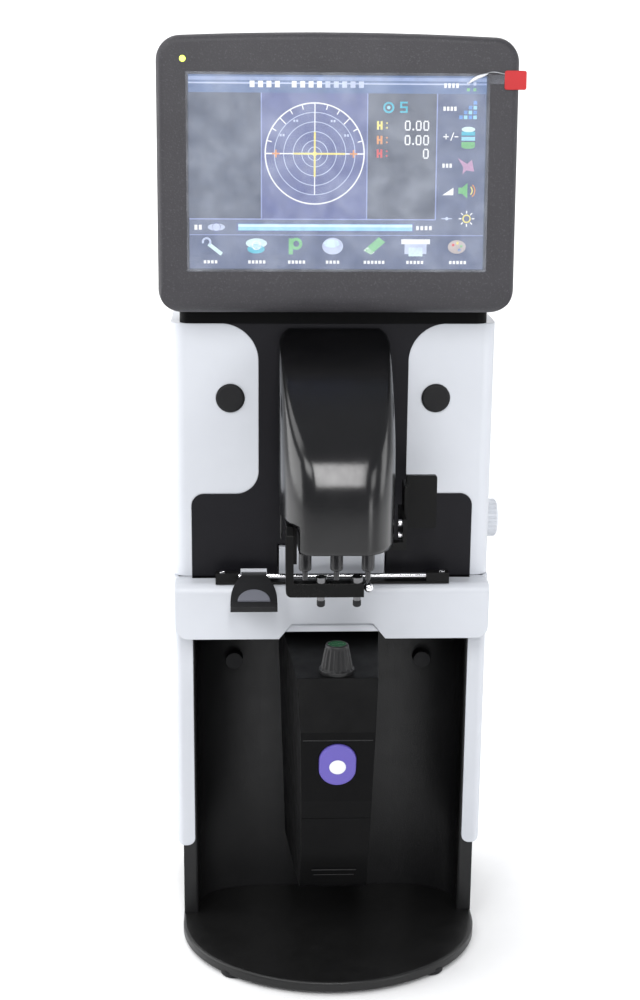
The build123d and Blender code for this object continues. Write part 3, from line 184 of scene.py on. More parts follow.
WHITE = (0.57, 0.59, 0.63)
BLACK = (0.007, 0.007, 0.0075)
materials = {
    "base_black": surface(
        "base_black", (0.006, 0.006, 0.006), 0.4, grain=0.0007, speck=0.12, dust=0.16, specular=0.4,
    ),
    "rubber_black": surface(
        "rubber_black", (0.012, 0.012, 0.013), 0.6, grain=0.0008, bump=0.3, speck=0.1, specular=0.2,
    ),
    "sheet_steel": surface("sheet_steel", (0.6, 0.6, 0.6), 0.35, 1.0, grain=0.0012, stretch=(1, 1, 0.1)),
    "cast_aluminium": surface("cast_aluminium", (0.55, 0.56, 0.57), 0.5, 1.0, grain=0.0015, bump=0.4),
    "anodised_black": surface("anodised_black", (0.03, 0.03, 0.032), 0.4, 0.6, grain=0.0006),
    "lens_glass": clear("lens_glass", (0.8, 0.88, 0.95), 0.04, 0.4),
    "black_plastic": surface(
        "black_plastic", BLACK, 0.38, grain=0.0009, bump=0.25, speck=0.12, dust=0.05, specular=0.35,
    ),
    "board_green": surface("board_green", (0.03, 0.16, 0.06), 0.35, grain=0.0012, bump=0.5, speck=0.4),
    "white_plastic": surface("white_plastic", WHITE, 0.36, grain=0.0008, bump=0.08, mottle=0.015, wear_and_highlight=0.35),
    "fascia_black": surface(
        "fascia_black", (0.0065, 0.0063, 0.0085), 0.45, grain=0.0007, bump=0.25, speck=0.12, specular=0.18,
    ),
    "gloss_black": surface(
        "gloss_black", (0.004, 0.004, 0.0045), 0.2, grain=0.003, bump=0.03, mottle=0.2, wear_and_highlight=0.1,
    ),
    "bezel_grey": surface(
        "bezel_grey", (0.04, 0.0385, 0.043), 0.46, grain=0.0009, bump=0.4, speck=0.35, specular=0.3,
    ),
    "chrome": surface("chrome", (0.78, 0.78, 0.8), 0.12, 1.0, grain=0.002, bump=0.05, mottle=0.1, wear_and_highlight=0.1),
    "lever_black": surface(
        "lever_black", (0.006, 0.006, 0.006), 0.38, grain=0.0006, speck=0.1, specular=0.14,
    ),
    "pad_black": surface("pad_black", (0.012, 0.012, 0.013), 0.45, grain=0.0006, speck=0.1, specular=0.25),
    "pad_grey": surface("pad_grey", (0.13, 0.135, 0.16), 0.5, grain=0.0006, bump=0.2),
    "clip_white": surface("clip_white", (0.62, 0.64, 0.68), 0.4, grain=0.0006, mottle=0.03),
    "pen_black": surface("pen_black", (0.02, 0.02, 0.022), 0.25, grain=0.0008, bump=0.1),
    "button_purple": surface("button_purple", (0.1, 0.075, 0.36), 0.42, grain=0.0005, bump=0.2, mottle=0.04),
    "window_white": surface("window_white", (0.7, 0.71, 0.73), 0.2, grain=0.0008, bump=0.1, mottle=0.03),
    "coated_glass": clear("coated_glass", (0.03, 0.13, 0.06), 0.08, 0.6),
    "paper_white": surface("paper_white", (0.82, 0.81, 0.77), 0.8, grain=0.0004, bump=0.4, mottle=0.04),
    "screen_glass": clear("screen_glass", (0.2, 0.25, 0.35), 0.1, 0.06, grain=0.05, streak=0.02),
    "screen_image": lit("screen_dark", (0.12, 0.15, 0.24), 0.35, size=0.02),
    "film_clear": clear("film_clear", (0.7, 0.75, 0.85), 0.2, 0.08, grain=0.03, streak=0.05),
    "tab_red": surface("tab_red", (0.45, 0.004, 0.007), 0.42, grain=0.0008, bump=0.12, mottle=0.08),
    "led_green": lit("led_green", (0.75, 1.0, 0.12), 3.0, size=0.001),
    "plate_silver": surface("plate_silver", (0.62, 0.63, 0.64), 0.32, 1.0, grain=0.001, stretch=(0.05, 1, 1)),
    "module_black": surface(
        "module_black", (0.0032, 0.0032, 0.0034), 0.42, grain=0.0008, bump=0.2, speck=0.1, specular=0.06,
    ),
    # white colour of the clear film's fold: a painted highlight standing for the bright reflection along the
    # crease
    "crease_painted_highlight": surface(
        "crease_painted_highlight", (0.8, 0.82, 0.86), 0.25, grain=0.0008, bump=0.1, mottle=0.05,
    ),
    "clamp_gloss": surface(
        "clamp_gloss", (0.003, 0.003, 0.003), 0.3, grain=0.001, bump=0.05, specular=0.14, edge=0.0009,
    ),
    "dark_chrome": surface("dark_chrome", (0.16, 0.16, 0.165), 0.22, 1.0, grain=0.001, bump=0.05),
}
# pieces that look different from the slot they share
SPECIAL = {
    "module_upper_cover": "module_black", "module_lower_cover": "module_black", "clamp_arm": "clamp_gloss",
    "clamp_pins": "dark_chrome", "hinge_cowl": "module_black",
}
slots = {row["node"]: row["material_slot"] for row in frame["record"]["subparts"]}
for name, obj in frame["nodes"].items():
    obj.data.materials.clear()
    obj.data.materials.append(materials[SPECIAL.get(name, slots[name])])


def finish_piece(obj, body):
    """Put a new piece on its CAD body."""
    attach(obj, body)


def mesh_object(name, bm, mats, smooth=False):
    """An object made from a bmesh, which is freed, with its faces turned outwards."""
    bmesh.ops.recalc_face_normals(bm, faces=bm.faces)
    mesh = bpy.data.meshes.new(name)
    bm.to_mesh(mesh)
    bm.free()
    for face in mesh.polygons:
        face.use_smooth = smooth
    obj = bpy.data.objects.new(name, mesh)
    scene.collection.objects.link(obj)
    for mat in mats:
        mesh.materials.append(mat)
    return obj


# ---------------------------------------------------------------- screen picture
LEAN = math.radians(4.0)
SCREEN_RIGHT = Vector((1, 0, 0))
SCREEN_UP = Vector((0, math.sin(LEAN), math.cos(LEAN)))
SCREEN_OUT = Vector((0, -math.cos(LEAN), math.sin(LEAN)))
SCREEN_CENTRE = Vector((0, -0.029, 0.449))
PICTURE_LEFT = -78.2
PICTURE_TOP = 51.2
PICTURE_WIDTH = 156.4
PICTURE_HEIGHT = 100.4
LAYER = 0.02


def screen_matrix(depth_mm):
    """Screen frame: x right, y up, z out of the glass; depth_mm in front of the bezel's face."""
    columns = Matrix((SCREEN_RIGHT, SCREEN_UP, SCREEN_OUT)).transposed().to_4x4()
    return Matrix.Translation(SCREEN_CENTRE + SCREEN_OUT * depth_mm * MM) @ columns


UI_TONES = {
    "title_low": ((0.16, 0.26, 0.52), 0.75), "title_high": ((0.4, 0.52, 0.85), 0.8),
    "left": ((0.115, 0.14, 0.205), 0.8), "middle": ((0.16, 0.19, 0.43), 0.85),
    "right": ((0.13, 0.15, 0.2), 0.8), "side": ((0.15, 0.19, 0.33), 0.8),
    "bottom": ((0.19, 0.23, 0.36), 0.8), "frame_line": ((0.38, 0.45, 0.8), 0.9),
    "white": ((0.95, 0.97, 1.0), 1.1), "pale": ((0.62, 0.7, 0.95), 1.0),
    "cyan": ((0.35, 0.72, 0.95), 1.1), "cyan_light": ((0.7, 0.93, 1.0), 1.1),
    "teal": ((0.08, 0.55, 0.72), 1.0), "yellow": ((0.9, 0.78, 0.2), 1.1),
    "orange": ((0.85, 0.36, 0.12), 1.0), "red": ((0.8, 0.12, 0.12), 1.0),
    "green": ((0.22, 0.6, 0.25), 1.0), "pink": ((0.6, 0.35, 0.55), 1.0),
    "tan": ((0.6, 0.52, 0.5), 1.0), "blue": ((0.15, 0.35, 0.8), 1.0),
}
ui_materials = [lit("ui_" + key, color, power) for key, (color, power) in UI_TONES.items()]
ui_index = {key: i for i, key in enumerate(UI_TONES)}


class Picture:
    """Flat shapes on the screen, in millimetres from its top left corner, each on its own layer."""

    def __init__(self):
        self.bm = bmesh.new()
        self.layer = 0

    def shape(self, points, tone):
        height = self.layer * LAYER * MM
        corners = [
            self.bm.verts.new(((PICTURE_LEFT + u) * MM, (PICTURE_TOP - v) * MM, height)) for u, v in points
        ]
        self.bm.faces.new(corners).material_index = ui_index[tone]

    def box(self, u0, v0, u1, v1, tone):
        self.shape(((u0, v1), (u1, v1), (u1, v0), (u0, v0)), tone)

    def disc(self, u, v, ru, tone, rv=None, count=28):
        rv = rv or ru
        steps = [2 * math.pi * i / count for i in range(count)]
        self.shape([(u + ru * math.cos(a), v - rv * math.sin(a)) for a in steps], tone)

    def ring(self, u, v, radius, width, tone, start=0, end=360, count=72):
        steps = [math.radians(start + (end - start) * i / count) for i in range(count + 1)]
        outer, inner = radius + width / 2, radius - width / 2
        for a, b in zip(steps, steps[1:]):
            self.shape(
                (
                    (u + inner * math.cos(a), v - inner * math.sin(a)),
                    (u + outer * math.cos(a), v - outer * math.sin(a)),
                    (u + outer * math.cos(b), v - outer * math.sin(b)),
                    (u + inner * math.cos(b), v - inner * math.sin(b)),
                ), tone,
            )

    def stroke(self, u0, v0, u1, v1, width, tone):
        run, rise = u1 - u0, v1 - v0
        length = math.hypot(run, rise)
        nu, nv = -rise / length * width / 2, run / length * width / 2
        self.shape(((u0 - nu, v0 - nv), (u1 - nu, v1 - nv), (u1 + nu, v1 + nv), (u0 + nu, v0 + nv)), tone)

    def zero(self, u, v, width, height, tone):
        """The digit 0, from its top left corner."""
        bold = width * 0.24
        self.box(u, v + bold, u + bold, v + height - bold, tone)
        self.box(u + width - bold, v + bold, u + width, v + height - bold, tone)
        self.box(u + bold * 0.6, v, u + width - bold * 0.6, v + bold, tone)
        self.box(u + bold * 0.6, v + height - bold, u + width - bold * 0.6, v + height, tone)

    def mark(self, u, v, count, tone, pitch=1.9, size=1.2, height=1.5):
        """A row of plain blocks in place of a caption."""
        for i in range(count):
            self.box(u + i * pitch, v, u + i * pitch + size, v + height, tone)


ui = Picture()
TITLE_V, PANEL_V, BAR_V = 9.0, 74.3, 82.6
DIVIDERS = (38.1, 93.9, 130.6)
for i in range(10):
    ui.box(0, i * 0.9, PICTURE_WIDTH, (i + 1) * 0.9, "title_high" if i in (1, 2, 4) else "title_low")
ui.box(0, TITLE_V, DIVIDERS[0], PANEL_V, "left")
ui.box(DIVIDERS[0], TITLE_V, DIVIDERS[1], PANEL_V, "middle")
ui.box(DIVIDERS[1], TITLE_V, DIVIDERS[2], PANEL_V, "right")
ui.box(DIVIDERS[2], TITLE_V, PICTURE_WIDTH, PANEL_V, "side")
ui.box(0, PANEL_V, PICTURE_WIDTH, BAR_V, "bottom")
ui.box(0, BAR_V, PICTURE_WIDTH, PICTURE_HEIGHT, "side")
ui.layer = 1
ui.box(0, 4.0, 146, 4.5, "pale")
for u in DIVIDERS:
    ui.box(u - 0.3, TITLE_V, u + 0.3, PANEL_V, "frame_line")
ui.box(0, PANEL_V - 0.3, DIVIDERS[2], PANEL_V + 0.3, "frame_line")
ui.box(0, BAR_V - 0.2, PICTURE_WIDTH, BAR_V + 0.2, "frame_line")
ui.box(24.8, 76.2, 119.4, 80.9, "middle")
for u in (24, 46, 66, 87, 108, 131):
    ui.box(u - 0.15, BAR_V, u + 0.15, PICTURE_HEIGHT, "bottom")
ui.layer = 2
ui.box(25.8, 76.8, 118.4, 80.3, "cyan")
TARGET = (66.2, 40.2)
ui.ring(*TARGET, 26.1, 0.75, "white")
for radius in (21.3, 16.4, 11.4, 6.8, 3.5):
    ui.ring(*TARGET, radius, 0.42, "pale")
for angle in range(0, 181, 15):
    ca, sa = math.cos(math.radians(angle)), math.sin(math.radians(angle))
    inner = 21.6 if angle % 45 == 0 else 23.4
    ui.stroke(
        TARGET[0] + inner * ca, TARGET[1] - inner * sa, TARGET[0] + 26 * ca, TARGET[1] - 26 * sa, 0.6, "white"
    )
for angle in (30, 60, 120, 150):
    ca, sa = math.cos(math.radians(angle)), math.sin(math.radians(angle))
    ui.mark(TARGET[0] + 19.6 * ca - 1.5, TARGET[1] - 20.2 * sa, 2, "pale", 1.5, 1.0, 1.2)
ui.layer = 3
ui.stroke(TARGET[0] - 26, TARGET[1], TARGET[0] + 26, TARGET[1], 0.7, "white")
ui.stroke(TARGET[0], TARGET[1] - 26, TARGET[0], TARGET[1] + 21.3, 0.6, "white")
ui.box(25.8, 77.1, 118.4, 78.4, "cyan_light")
ui.layer = 4
ui.stroke(TARGET[0] - 11.3, TARGET[1], TARGET[0] + 16.1, TARGET[1], 1.0, "yellow")
ui.stroke(TARGET[0], TARGET[1] - 11.3, TARGET[0], TARGET[1] + 12, 1.0, "yellow")
for side in (-1, 1):
    centre = TARGET[0] + side * 20.5
    ui.stroke(centre - 2, TARGET[1], centre + 2, TARGET[1], 0.9, "orange")
    ui.stroke(centre, TARGET[1] - 2, centre, TARGET[1] + 2, 0.9, "orange")
ui.disc(*TARGET, 1.2, "yellow")

# readings: three generic marks with their values
ui.ring(105, 16.2, 2.4, 1.0, "teal")
ui.disc(105, 16.2, 0.9, "cyan")
for v in (13.6, 16.0, 18.4):
    ui.box(111, v - 0.45, 115, v + 0.45, "teal")
ui.box(111, 13.6, 112, 16, "teal")
ui.box(114, 16, 115, 18.4, "teal")
for v, tone, places in ((25.4, "yellow", 3), (32.9, "orange", 3), (39.9, "red", 1)):
    ui.box(98.9, v - 2.2, 100.0, v + 2.2, tone)
    ui.box(100.8, v - 2.2, 101.9, v + 2.2, tone)
    ui.box(99.6, v - 0.5, 101.4, v + 0.5, tone)
    for dot in (-1.2, 1.2):
        ui.disc(104.2, v + dot, 0.5, tone, count=10)
    for i in range(places):
        ui.zero(123.4 - i * (4.0 if i < 2 else 4.9), v - 2.6, 3.1, 5.2, "white")
    if places > 1:
        ui.disc(118.1, v + 2.0, 0.55, "white", count=10)

# title: a row of blank blocks in place of lettering
for i in range(14):
    if i != 4:
        ui.box(32 + i * 4.4, 3.0, 34.6 + i * 4.4, 6.3, "white" if i < 9 else "pale")
ui.mark(134, 3.6, 4, "white", 2.1, 1.4, 2.4)
for u, v in ((146, 3), (149.4, 3), (146, 6), (149.4, 6)):
    ui.box(u, v, u + 1.6, v + 1.6, "green" if v > 4 else "pale")

# side icons, top to bottom: steps, drum, bird-like dart, horn, sun
for column in range(4):
    for row in range(column + 1):
        u, v = 142.2 + column * 2.5, 20.0 - row * 2.5
        ui.box(u, v, u + 1.9, v + 1.9, "cyan" if (row + column) % 2 else "blue")
ui.disc(147.3, 27.2, 3.6, "cyan_light", 1.4)
for v, tone in ((28.3, "teal"), (31.0, "cyan"), (33.7, "green")):
    ui.box(143.7, v, 150.9, v + 2.0, tone)
ui.disc(147.3, 36.0, 3.6, "green", 1.2)
ui.shape(
    ((142, 42), (147, 45), (149.5, 42.8), (150.8, 49), (146.5, 48.4), (144.6, 50.6), (145, 46.8)), "pink",
)
ui.shape(((142.6, 57.4), (144.6, 57.4), (147.4, 55), (147.4, 63), (144.6, 60.6), (142.6, 60.6)), "green")
ui.ring(147.4, 59, 2.6, 0.6, "yellow", -50, 50, 12)
ui.ring(147.4, 59, 4.0, 0.6, "orange", -50, 50, 12)
SUN_U, SUN_V = 147.3, 73.7
ui.ring(SUN_U, SUN_V, 1.9, 0.7, "yellow")
for i in range(8):
    c, s = math.cos(math.pi * i / 4), math.sin(math.pi * i / 4)
    ui.stroke(SUN_U + 2.7 * c, SUN_V + 2.7 * s, SUN_U + 4.2 * c, SUN_V + 4.2 * s, 0.6, "white")
# beside the icons: two rows of blocks, plus and minus, a wedge, a slider
for v, count in ((16.6, 4), (46.0, 3)):
    ui.mark(133.8, v - 1.1, count, "white", 1.9, 1.3, 2.2)
ui.stroke(134, 31, 137, 31, 0.6, "white")
ui.stroke(135.5, 29.6, 135.5, 32.4, 0.6, "white")
ui.stroke(138, 33, 139.6, 28.8, 0.6, "white")
ui.stroke(140, 31, 142, 31, 0.6, "white")
ui.shape(((134, 61.4), (140, 61.4), (140, 57.4)), "white")
ui.stroke(133.8, 73.7, 139.6, 73.7, 0.5, "pale")
ui.disc(136.7, 73.7, 0.9, "pale", count=12)

# bottom icons: spanner, lens, block, globe, eraser, printer, palette
ui.mark(2.6, 77.4, 2, "white", 2.3, 1.6, 2.6)
ui.disc(14.2, 78.6, 4.6, "pale", 1.9)
ui.ring(14.2, 78.6, 2.2, 0.5, "middle", count=24)
ui.mark(120.4, 77.6, 4, "white", 2.3, 1.5, 2.2)
ui.ring(9.0, 86.4, 2.0, 1.1, "pale", -60, 200, 18)
ui.stroke(10.0, 87.4, 17.0, 92.8, 2.0, "cyan_light")
ui.disc(35.4, 87.0, 5.6, "cyan_light", 2.6)
ui.disc(35.2, 90.0, 4.6, "teal", 2.4)
ui.ring(35.4, 88.0, 2.2, 0.8, "white", count=24)
ui.ring(56.6, 87.2, 2.4, 1.6, "green", count=20)
ui.box(52.6, 84.4, 54.8, 92.8, "green")
ui.disc(76.0, 88.4, 5.6, "pale", 4.4)
ui.disc(75.4, 87.0, 4.2, "cyan_light", 2.2)
ui.shape(((92.4, 90.6), (100.6, 83.6), (104.0, 86.2), (96.4, 92.8)), "green")
ui.shape(((92.4, 90.6), (94.6, 88.8), (98.4, 91.6), (96.4, 92.8)), "white")
ui.box(112.6, 84.6, 128.0, 87.2, "white")
ui.box(114.4, 87.2, 126.2, 92.4, "pale")
ui.box(116.6, 89.0, 124.0, 93.6, "cyan_light")
ui.disc(142.4, 88.6, 4.8, "tan", 3.6)
for du, dv, tone in ((-2, -1, "red"), (0.4, -2, "yellow"), (2.4, -0.4, "green"), (1.4, 1.6, "blue")):
    ui.disc(142.4 + du, 88.6 + dv, 0.8, tone, count=10)
for u, count in ((7.4, 4), (31.0, 5), (52.2, 5), (72.4, 4), (92.6, 6), (115.4, 5), (138.4, 5)):
    ui.mark(u, 96.0, count, "white", 1.95, 1.35, 1.7)
LCD_FACE = -4.12  # just in front of the display panel, behind the bezel's face
screen_picture = mesh_object("screen_picture", ui.bm, ui_materials)
screen_picture.matrix_world = screen_matrix(LCD_FACE)
finish_piece(screen_picture, "display")


# ---------------------------------------------------------------- protective film with a lifted corner
FILM_THICK = 0.2
FILM_GAP = 0.12
WAVE_HEIGHT = 0.18
CREASE_REACH = 3.2
CREASE_LEAD = 6.0
CREASE_RUN_IN = 8.0
CREASE_LIFT = 1.5
CREASE_FROM, CREASE_TO = Vector((67.5, 47.0)), Vector((78.0, 53.0))


def film_height(x, y):
    """Height of the film above the bezel's face, in millimetres, at a place on the screen."""
    wave = WAVE_HEIGHT * (noise.noise(Vector((x * 0.035, y * 0.06, 3.0))) + 0.6)
    along = (CREASE_TO - CREASE_FROM).normalized()
    offset = Vector((x, y)) - CREASE_FROM
    run = offset.dot(along)
    across = abs(offset.cross(along))
    near = max(0.0, 1.0 - across / CREASE_REACH) ** 1.6
    if run > -CREASE_LEAD:
        wave += near * CREASE_LIFT * min(1.0, (run + CREASE_LEAD) / CREASE_RUN_IN)
    return FILM_GAP + max(0.0, wave)


def film_sheet(name, x0, x1, y0, y1, columns, rows):
    """A closed rectangular sheet that follows the film's height."""
    bm = bmesh.new()
    grid = {}
    for side in (0, 1):
        for i in range(columns + 1):
            for j in range(rows + 1):
                x = x0 + (x1 - x0) * i / columns
                y = y0 + (y1 - y0) * j / rows
                z = film_height(x, y) + side * FILM_THICK
                grid[side, i, j] = bm.verts.new((x * MM, y * MM, z * MM))
    for i in range(columns):
        for j in range(rows):
            ring = [(i, j), (i + 1, j), (i + 1, j + 1), (i, j + 1)]
            bm.faces.new([grid[(1, *p)] for p in ring])
            bm.faces.new([grid[(0, *p)] for p in reversed(ring)])
    rim = (
        [(i, 0) for i in range(columns)] + [(columns, j) for j in range(rows)]
        + [(i, rows) for i in range(columns, 0, -1)] + [(0, j) for j in range(rows, 0, -1)]
    )
    for a, b in zip(rim, rim[1:] + rim[:1]):
        bm.faces.new((grid[(0, *a)], grid[(0, *b)], grid[(1, *b)], grid[(1, *a)]))
    sheet = mesh_object(name, bm, [materials["film_clear"]], smooth=True)
    sheet.matrix_world = screen_matrix(0)
    return sheet


FILM_HALF = 79.5
FILM_BOTTOM, FILM_TOP = -50.5, 52.5
STRIP_END = 90.0
STRIP_BOTTOM, STRIP_TOP = 47.2, 51.8
screen_film = film_sheet("protective_film", -FILM_HALF, FILM_HALF, FILM_BOTTOM, FILM_TOP, 90, 58)
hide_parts("screen_film")
finish_piece(screen_film, "display")

# the fold's section: across, in half-widths, and up, in parts of its rise
FOLD_SECTION = ((-1, -0.05), (-0.35, 0.7), (0.1, 1.0), (0.4, 0.6), (1, -0.05))
FOLD_BEND = 0.5
FOLD_TIP = 0.03


def crease(name, start, end, width, rise, steps):
    """A folded-up ridge of the film: a pointed lens in plan with a sharp crest, coloured opaque white as a
    painted highlight of the fold.
    """
    bm = bmesh.new()
    along = (end - start).normalized()
    side = Vector((-along.y, along.x))
    rings = []
    for i in range(steps + 1):
        t = i / steps
        swell = max(FOLD_TIP, math.sin(math.pi * t)) ** 0.6
        middle = start.lerp(end, t) + side * (FOLD_BEND * math.sin(math.pi * 1.4 * t))
        base = film_height(middle.x, middle.y) + FILM_THICK
        ring = []
        for across, up in FOLD_SECTION:
            place = middle + side * (across * width * swell / 2)
            ring.append(bm.verts.new((place.x * MM, place.y * MM, (base + up * rise * swell) * MM)))
        rings.append(ring)
    for a, b in zip(rings, rings[1:]):
        for j in range(len(a)):
            k = (j + 1) % len(a)
            bm.faces.new((a[j], a[k], b[k], b[j]))
    bm.faces.new(list(reversed(rings[0])))
    bm.faces.new(rings[-1])
    ridge_piece = mesh_object(name, bm, [materials["crease_painted_highlight"]], smooth=True)
    ridge_piece.matrix_world = screen_matrix(0)
    finish_piece(ridge_piece, "display")


crease("film_crease", CREASE_FROM, CREASE_TO, 2.0, 0.7, 24)
TAIL_FROM, TAIL_TO = CREASE_TO - Vector((0.6, 0.2)), Vector((88.5, 52.6))
crease("film_crease_tail", TAIL_FROM, TAIL_TO, 0.5, 0.25, 16)
tab_strip = film_sheet("film_pull_strip", FILM_HALF, STRIP_END, STRIP_BOTTOM, STRIP_TOP, 12, 5)
finish_piece(tab_strip, "display")

# ---------------------------------------------------------------- bright bevel in the table's notch
NOTCH_TOP, NOTCH_EDGE = 198.0, 193.2
NOTCH_TOP_HALF, NOTCH_EDGE_HALF = 22.9, 26.6
NOTCH_TOP_Y, NOTCH_EDGE_Y, NOTCH_BACK_Y = -21.8, -24.8, -18.8
NOTCH_ROUND = 0.4

bm = bmesh.new()
ends = []
for side in (-1, 1):
    outline = (
        (NOTCH_TOP_HALF, NOTCH_BACK_Y, NOTCH_TOP), (NOTCH_TOP_HALF, NOTCH_TOP_Y, NOTCH_TOP),
        (NOTCH_EDGE_HALF, NOTCH_EDGE_Y, NOTCH_EDGE), (NOTCH_EDGE_HALF, NOTCH_BACK_Y, NOTCH_EDGE),
    )
    ends.append([bm.verts.new((side * half * MM, y * MM, z * MM)) for half, y, z in outline])
for k in range(4):
    j = (k + 1) % 4
    bm.faces.new((ends[0][k], ends[0][j], ends[1][j], ends[1][k]))
bm.faces.new(ends[0])
bm.faces.new(list(reversed(ends[1])))
notch_bevel = mesh_object("notch_bevel", bm, [materials["white_plastic"]])
rounding = notch_bevel.modifiers.new("rounding", "BEVEL")
rounding.width = NOTCH_ROUND * MM
rounding.segments = 3
finish_piece(notch_bevel, "lens_table")

# ---------------------------------------------------------------- nose shell
NOSE_LOW, NOSE_HIGH, NOSE_BACK, NOSE_FRONT = 260.0, 365.0, -8.6, -96.0
NOSE_HALF = 30.5
NOSE_SHELL = 1.0
ARM_CUT_TOP = 274.0
ARM_CUT_X, ARM_CUT_Y = -21.4, -64.0
LOW_BACK_Y = -55.0
UNDERSIDE_RATE = 0.745
ROW_STEP, LOW_ROW_STEP, LOW_ROWS = 1.4, 2.0, 7
LEAST_ROUND = 1.5
DEEPEST_CORNER = 0.8
TOP_GAP, TOP_GAP_LEAST = 0.5, 0.6
SLOPE_START, SLOPE_SOFT = 309.0, 8.5
SLOPE_FOOT = 308.5
SLOPE_RATE = (NOSE_BACK - NOSE_FRONT) / (NOSE_HIGH - SLOPE_FOOT)
TOP_ROUND = 9.0
# height, half-width of the flat front, depth of the rounded corner
NOSE_STATIONS = [
    (260, 12.4, 34.0), (296, 12.4, 33.0), (306, 13.4, 28.5), (314, 16.0, 24.5), (322, 19.6, 20.0),
    (332, 24.0, 14.0), (344, 27.2, 8.0), (356, 28.6, 4.5), (366, 28.8, 4.0),
]


def station(z):
    """Flat half-width and corner depth at a height, eased between the stations."""
    for (z0, w0, d0), (z1, w1, d1) in zip(NOSE_STATIONS, NOSE_STATIONS[1:]):
        if z <= z1:
            t = (z - z0) / (z1 - z0)
            return w0 + (w1 - w0) * t, d0 + (d1 - d0) * t
    return NOSE_STATIONS[-1][1:]


def smooth_station(z):
    """The same, averaged over 12 mm of height so that no ridge shows at a station."""
    highest = NOSE_STATIONS[-1][0]
    taps = [station(min(max(z + dz, NOSE_LOW), highest)) for dz in (-6, -4, -2, 0, 2, 4, 6)]
    return sum(t[0] for t in taps) / len(taps), sum(t[1] for t in taps) / len(taps)


def nose_front(z):
    """Y of the nose's front line at a height: upright, then turning smoothly into the slope."""
    return NOSE_FRONT + SLOPE_RATE * SLOPE_SOFT * math.log1p(math.exp((z - SLOPE_START) / SLOPE_SOFT))


CORNER_STEPS = 24
SIDE_STEPS = 16
FLAT_STEPS = 5
heights = [NOSE_LOW + LOW_ROW_STEP * i for i in range(LOW_ROWS)] + [ARM_CUT_TOP]
while heights[-1] < NOSE_HIGH - TOP_GAP_LEAST:
    heights.append(min(heights[-1] + ROW_STEP, NOSE_HIGH - TOP_GAP))
bm = bmesh.new()
grid = []
for z in heights:
    flat, depth = smooth_station(z)
    front = min(nose_front(z), NOSE_BACK - 1.0)
    half = NOSE_HALF
    if z > NOSE_HIGH - TOP_ROUND:
        rise = (z - NOSE_HIGH + TOP_ROUND) / TOP_ROUND
        half -= TOP_ROUND * (1 - math.sqrt(max(0.0, 1 - rise * rise)))
    flat = min(flat, half - LEAST_ROUND)
    back = min(NOSE_BACK, LOW_BACK_Y + (z - NOSE_LOW) / UNDERSIDE_RATE)
    depth = min(depth, (back - front) * DEEPEST_CORNER)
    path = [(flat * i / FLAT_STEPS, front) for i in range(FLAT_STEPS)]
    for i in range(CORNER_STEPS + 1):
        a = math.pi / 2 * i / CORNER_STEPS
        path.append((flat + (half - flat) * math.sin(a), front + depth * (1 - math.cos(a))))
    side_start = front + depth
    path += [(half, side_start + (back - side_start) * i / SIDE_STEPS) for i in range(1, SIDE_STEPS + 1)]
    row = [(-x, y) for x, y in reversed(path[1:])] + path
    grid.append([bm.verts.new((x * MM, y * MM, z * MM)) for x, y in row])
for low, high in zip(grid, grid[1:]):
    for i in range(len(low) - 1):
        middle = (low[i].co + low[i + 1].co + high[i].co + high[i + 1].co) / 4
        beside_arm = middle.x < ARM_CUT_X * MM and middle.y < ARM_CUT_Y * MM
        if beside_arm and middle.z < ARM_CUT_TOP * MM:
            continue
        bm.faces.new((low[i], low[i + 1], high[i + 1], high[i]))
bmesh.ops.delete(bm, geom=[v for v in bm.verts if not v.link_faces], context="VERTS")
nose_shell = mesh_object("nose_shell", bm, [materials["gloss_black"]], smooth=True)
shell = nose_shell.modifiers.new("wall", "SOLIDIFY")
shell.thickness = NOSE_SHELL * MM
shell.offset = -1
shell.use_even_offset = True
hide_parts("nose_cover")
finish_piece(nose_shell, "stand")

# ---------------------------------------------------------------- fluted lens rest
AXIS_Y = -0.074
REST_PROFILE = [
    (4.0, 188.0), (9.5, 188.0), (9.5, 190.0), (8.7, 191.0), (8.3, 193.0), (7.4, 198.0), (6.6, 201.5),
    (6.3, 203.0), (5.9, 203.8), (5.5, 204.0), (5.0, 204.0), (5.0, 202.4), (4.0, 202.4),
]
FLUTES = 18
FLUTE_STEPS = 6
FLUTE_DEPTH = 0.55
FLUTE_LOW, FLUTE_HIGH = 190.5, 202.0
BORE_EDGE = 6.0
bm = bmesh.new()
rings = []
count = FLUTES * FLUTE_STEPS
for i in range(count):
    angle = 2 * math.pi * i / count
    groove = 0.5 - 0.5 * math.cos(2 * math.pi * (i % FLUTE_STEPS) / FLUTE_STEPS)
    ring = []
    for radius, height in REST_PROFILE:
        on_wall = FLUTE_LOW < height < FLUTE_HIGH and radius > BORE_EDGE
        fluted = radius - FLUTE_DEPTH * groove if on_wall else radius
        ring.append(bm.verts.new((
            fluted * MM * math.cos(angle), AXIS_Y + fluted * MM * math.sin(angle), height * MM,
        )))
    rings.append(ring)
for i in range(count):
    a, b = rings[i], rings[(i + 1) % count]
    for j in range(len(REST_PROFILE)):
        k = (j + 1) % len(REST_PROFILE)
        bm.faces.new((a[j], b[j], b[k], a[k]))
lens_rest = mesh_object("fluted_lens_rest", bm, [materials["black_plastic"]])
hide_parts("nosepiece")
finish_piece(lens_rest, "stand")


# ---------------------------------------------------------------- raised lines on the measuring module
FACE_LOW, FACE_HIGH = 40.0, 188.0
FACE_HALF_LOW, FACE_HALF_HIGH = 16.0, 20.9
PANEL_LINE_Z = 156.8
# height and Y along the front face, from the top down
MODULE_PROFILE = [(161.5, -96.0), (118.0, -87.5), (80.0, -75.6), (62.0, -66.0)]
LINE_SEAT = 0.1
LINE_ARC = 8


def module_front(z):
    """Y of the module's front face at a height, in millimetres."""
    for (z1, y1), (z0, y0) in zip(MODULE_PROFILE, MODULE_PROFILE[1:]):
        if z >= z0:
            return y0 + (y1 - y0) * (z - z0) / (z1 - z0)
    return MODULE_PROFILE[-1][1]


